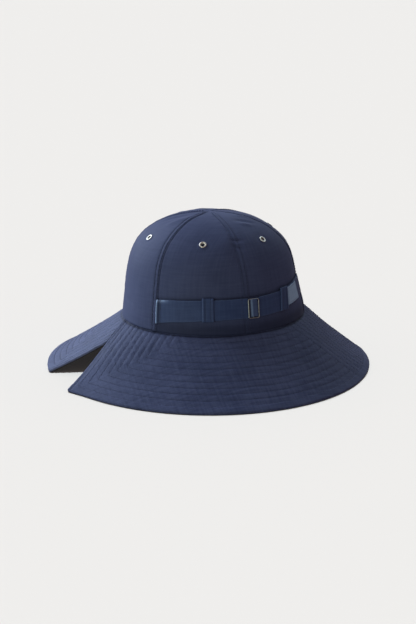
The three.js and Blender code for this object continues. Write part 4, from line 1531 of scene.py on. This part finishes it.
def stitch_tree():
    """Sets one thread capsule per stitch length along every line."""
    tree, given = new_tree("lockstitch rows", {"Stitch Length": "Float", "Thread Width": "Float",
                                               "Seed": "Int", "Material": "Material"})
    lines = add_node(tree, "GeometryNodeMeshToCurve", links={"Mesh": given["Geometry"]})
    marks = add_node(tree, "GeometryNodeResampleCurve",
                     links={"Curve": lines.outputs["Curve"], "Length": given["Stitch Length"]}, mode="LENGTH")
    ball = add_node(tree, "GeometryNodeMeshUVSphere", {"Segments": STITCH.sides, "Rings": STITCH.rings,
                                                       "Radius": 0.5})
    tangent = add_node(tree, "GeometryNodeInputTangent").outputs["Tangent"]
    facing = add_node(tree, "GeometryNodeInputNamedAttribute", {"Name": "facing"},
                      data_type="FLOAT_VECTOR").outputs["Attribute"]
    turn = facing_turn(tree, tangent, "Y")
    turn = facing_turn(tree, facing, "Z", "Y", turn)
    long = add_node(tree, "ShaderNodeMath", {1: STITCH.share}, {0: given["Stitch Length"]},
                    operation="MULTIPLY")
    uneven = add_node(tree, "FunctionNodeRandomValue", {"Min": STITCH.least, "Max": STITCH.most},
                      {"Seed": given["Seed"]}, data_type="FLOAT").outputs["Value"]
    length = add_node(tree, "ShaderNodeMath", links={0: long.outputs[0], 1: uneven}, operation="MULTIPLY")
    size = add_node(tree, "ShaderNodeCombineXYZ", links={"X": given["Thread Width"], "Y": length.outputs[0],
                                                         "Z": given["Thread Width"]})
    placed = add_node(tree, "GeometryNodeInstanceOnPoints",
                      links={"Points": marks.outputs["Curve"], "Instance": ball.outputs["Mesh"],
                             "Rotation": turn, "Scale": size.outputs["Vector"]})
    real = add_node(tree, "GeometryNodeRealizeInstances", links={"Geometry": placed.outputs["Instances"]})
    coated = add_node(tree, "GeometryNodeSetMaterial", links={"Geometry": real.outputs["Geometry"],
                                                              "Material": given["Material"]})
    add_node(tree, "NodeGroupOutput", links={"Geometry": coated.outputs["Geometry"]})
    return tree


LOCKSTITCH = stitch_tree()
print("stitch length in mm:", STITCH.length)

# %% Sew lines of stitches


def sewn(name, lines, seed, slot="shell_cloth"):
    """One mesh of stitches along several lines, each a pair of points and the ways they face."""
    points, facing, edges = [], [], []
    for places, ways_out in lines:
        start = len(points)
        points += list(places)
        facing += list(ways_out)
        edges += [(i, i + 1) for i in range(start, start + len(places) - 1)]
    stitches = grown(name, points, edges, facing, LOCKSTITCH,
                     {"Stitch Length": STITCH.length * MM, "Thread Width": STITCH.thread * MM, "Seed": seed},
                     THREAD)
    stitches.data.shade_smooth()
    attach(stitches, "root")
    print(name, "lines:", len(lines), "faces:", len(stitches.data.polygons))


# %% Sewing lines of the crown
SEWN_CLIMB = (0.014, 0.975)


def crown_lines():
    """Both needle lines of the six felled seams."""
    made = []
    for name, panel in PANELS.items():
        for line in LAP.lines:
            climb = np.linspace(*SEWN_CLIMB, 110)
            reach = reach_at(climb)
            size = np.minimum(LAP.width, reach * math.radians(PANEL_TURN) * LAP.share) / LAP.width
            azimuth = panel.seam + np.degrees((line + LAP.shift - LAP.width / 2) * size / reach)
            lift = float(lap_profile(line)) * size * FELL.get(name, FELL_ELSEWHERE) + STITCH.lift
            made.append((crown_point(azimuth, climb, lift), crown_normal(azimuth, climb)))
    return made


sewn("crown_stitches", crown_lines(), 31)

# %% Sewing lines of the brim
LEG = Sizes(back=-90, out=140, clear=1.2)


def leg(part, distance, outer_radius):
    """A row beside the slit on the flat cut, from the head line to a radius."""
    start, way, inward = slit_line(part)
    places = start + inward * distance + way * np.linspace(LEG.back, LEG.out, 400)[:, None]
    radius = np.hypot(places[:, 0], places[:, 1])
    return places[(radius > SLANT_HEAD + LEG.clear) & (radius < outer_radius)]


def mirrored(places):
    """The same row beside the other slit."""
    return places * (-1, 1)


def arc(radius, first, last):
    """A row round the rim on the flat cut, between two places."""
    angles = [math.atan2(place[0], -place[1]) for place in (first, last)]
    angle = np.linspace(angles[0], angles[1], 240)
    return np.stack([radius * np.sin(angle), -radius * np.cos(angle)], -1)


def flat_rows(part):
    """Every row of stitches of one brim part on its flat cut."""
    rows = []
    for index in range(ROWS.count):
        distance = ROWS.first + ROWS.pitch * index
        outer = SLANT_RIM - distance
        right_leg = leg(part, distance, outer)
        if len(right_leg) == 0:
            continue
        left_leg = mirrored(right_leg)
        if part.fan and index > 0:
            stop = leg(part, FAN_REACH, outer)
            rows.append(np.concatenate([left_leg, arc(outer, left_leg[-1], stop[-1])]))
        else:
            rows.append(np.concatenate([left_leg, arc(outer, left_leg[-1], right_leg[-1]), right_leg[::-1]]))
    if part.fan:
        for index in range(1, FAN.count):
            rows.append(leg(part, FAN.first + FAN.pitch * index, SLANT_RIM - ROWS.first))
    edge = leg(part, ROWS.edge, SLANT_RIM - ROWS.edge)
    return [row for row in rows + [edge, mirrored(edge)] if len(row) > 2]


for seed, (name, part) in enumerate(BRIM_PARTS.items()):
    lines = [brim_cloth(part, *from_flat(row), lift=STITCH.lift) for row in flat_rows(part)]
    sewn(f"{name}_stitches", lines, 41 + seed)

# %% Sewing lines of the strap
UPRIGHT = Sizes(inset=1.2, tall=22, facing_height=20.0)
END_ROWS = ((3.4, -0.1), (5.2, 0.0))
BUCKLE_ROWS = Sizes(away=(4.0, 5.6), level=0.1)


def upright_line(distance, level):
    """A short row across the strap, at a distance from its left end and a level above its face."""
    azimuth = STRAP_EDGES[0, 0] + math.degrees(distance / HEAD.half_length)
    share = np.linspace(UPRIGHT.inset / UPRIGHT.tall, 1 - UPRIGHT.inset / UPRIGHT.tall, 20)
    facing = crown_normal(azimuth, np.full(len(share), climb_at(UPRIGHT.facing_height)))
    return strap_shape(azimuth, share, STRAP.thick + level), facing


strap_lines = [upright_line(*row) for row in END_ROWS]
before_buckle = BUCKLE_AT - BUCKLE.width / 2
strap_lines += [upright_line(before_buckle - away, BUCKLE_ROWS.level) for away in BUCKLE_ROWS.away]
sewn("strap_stitches", strap_lines, 51, "ribbon")
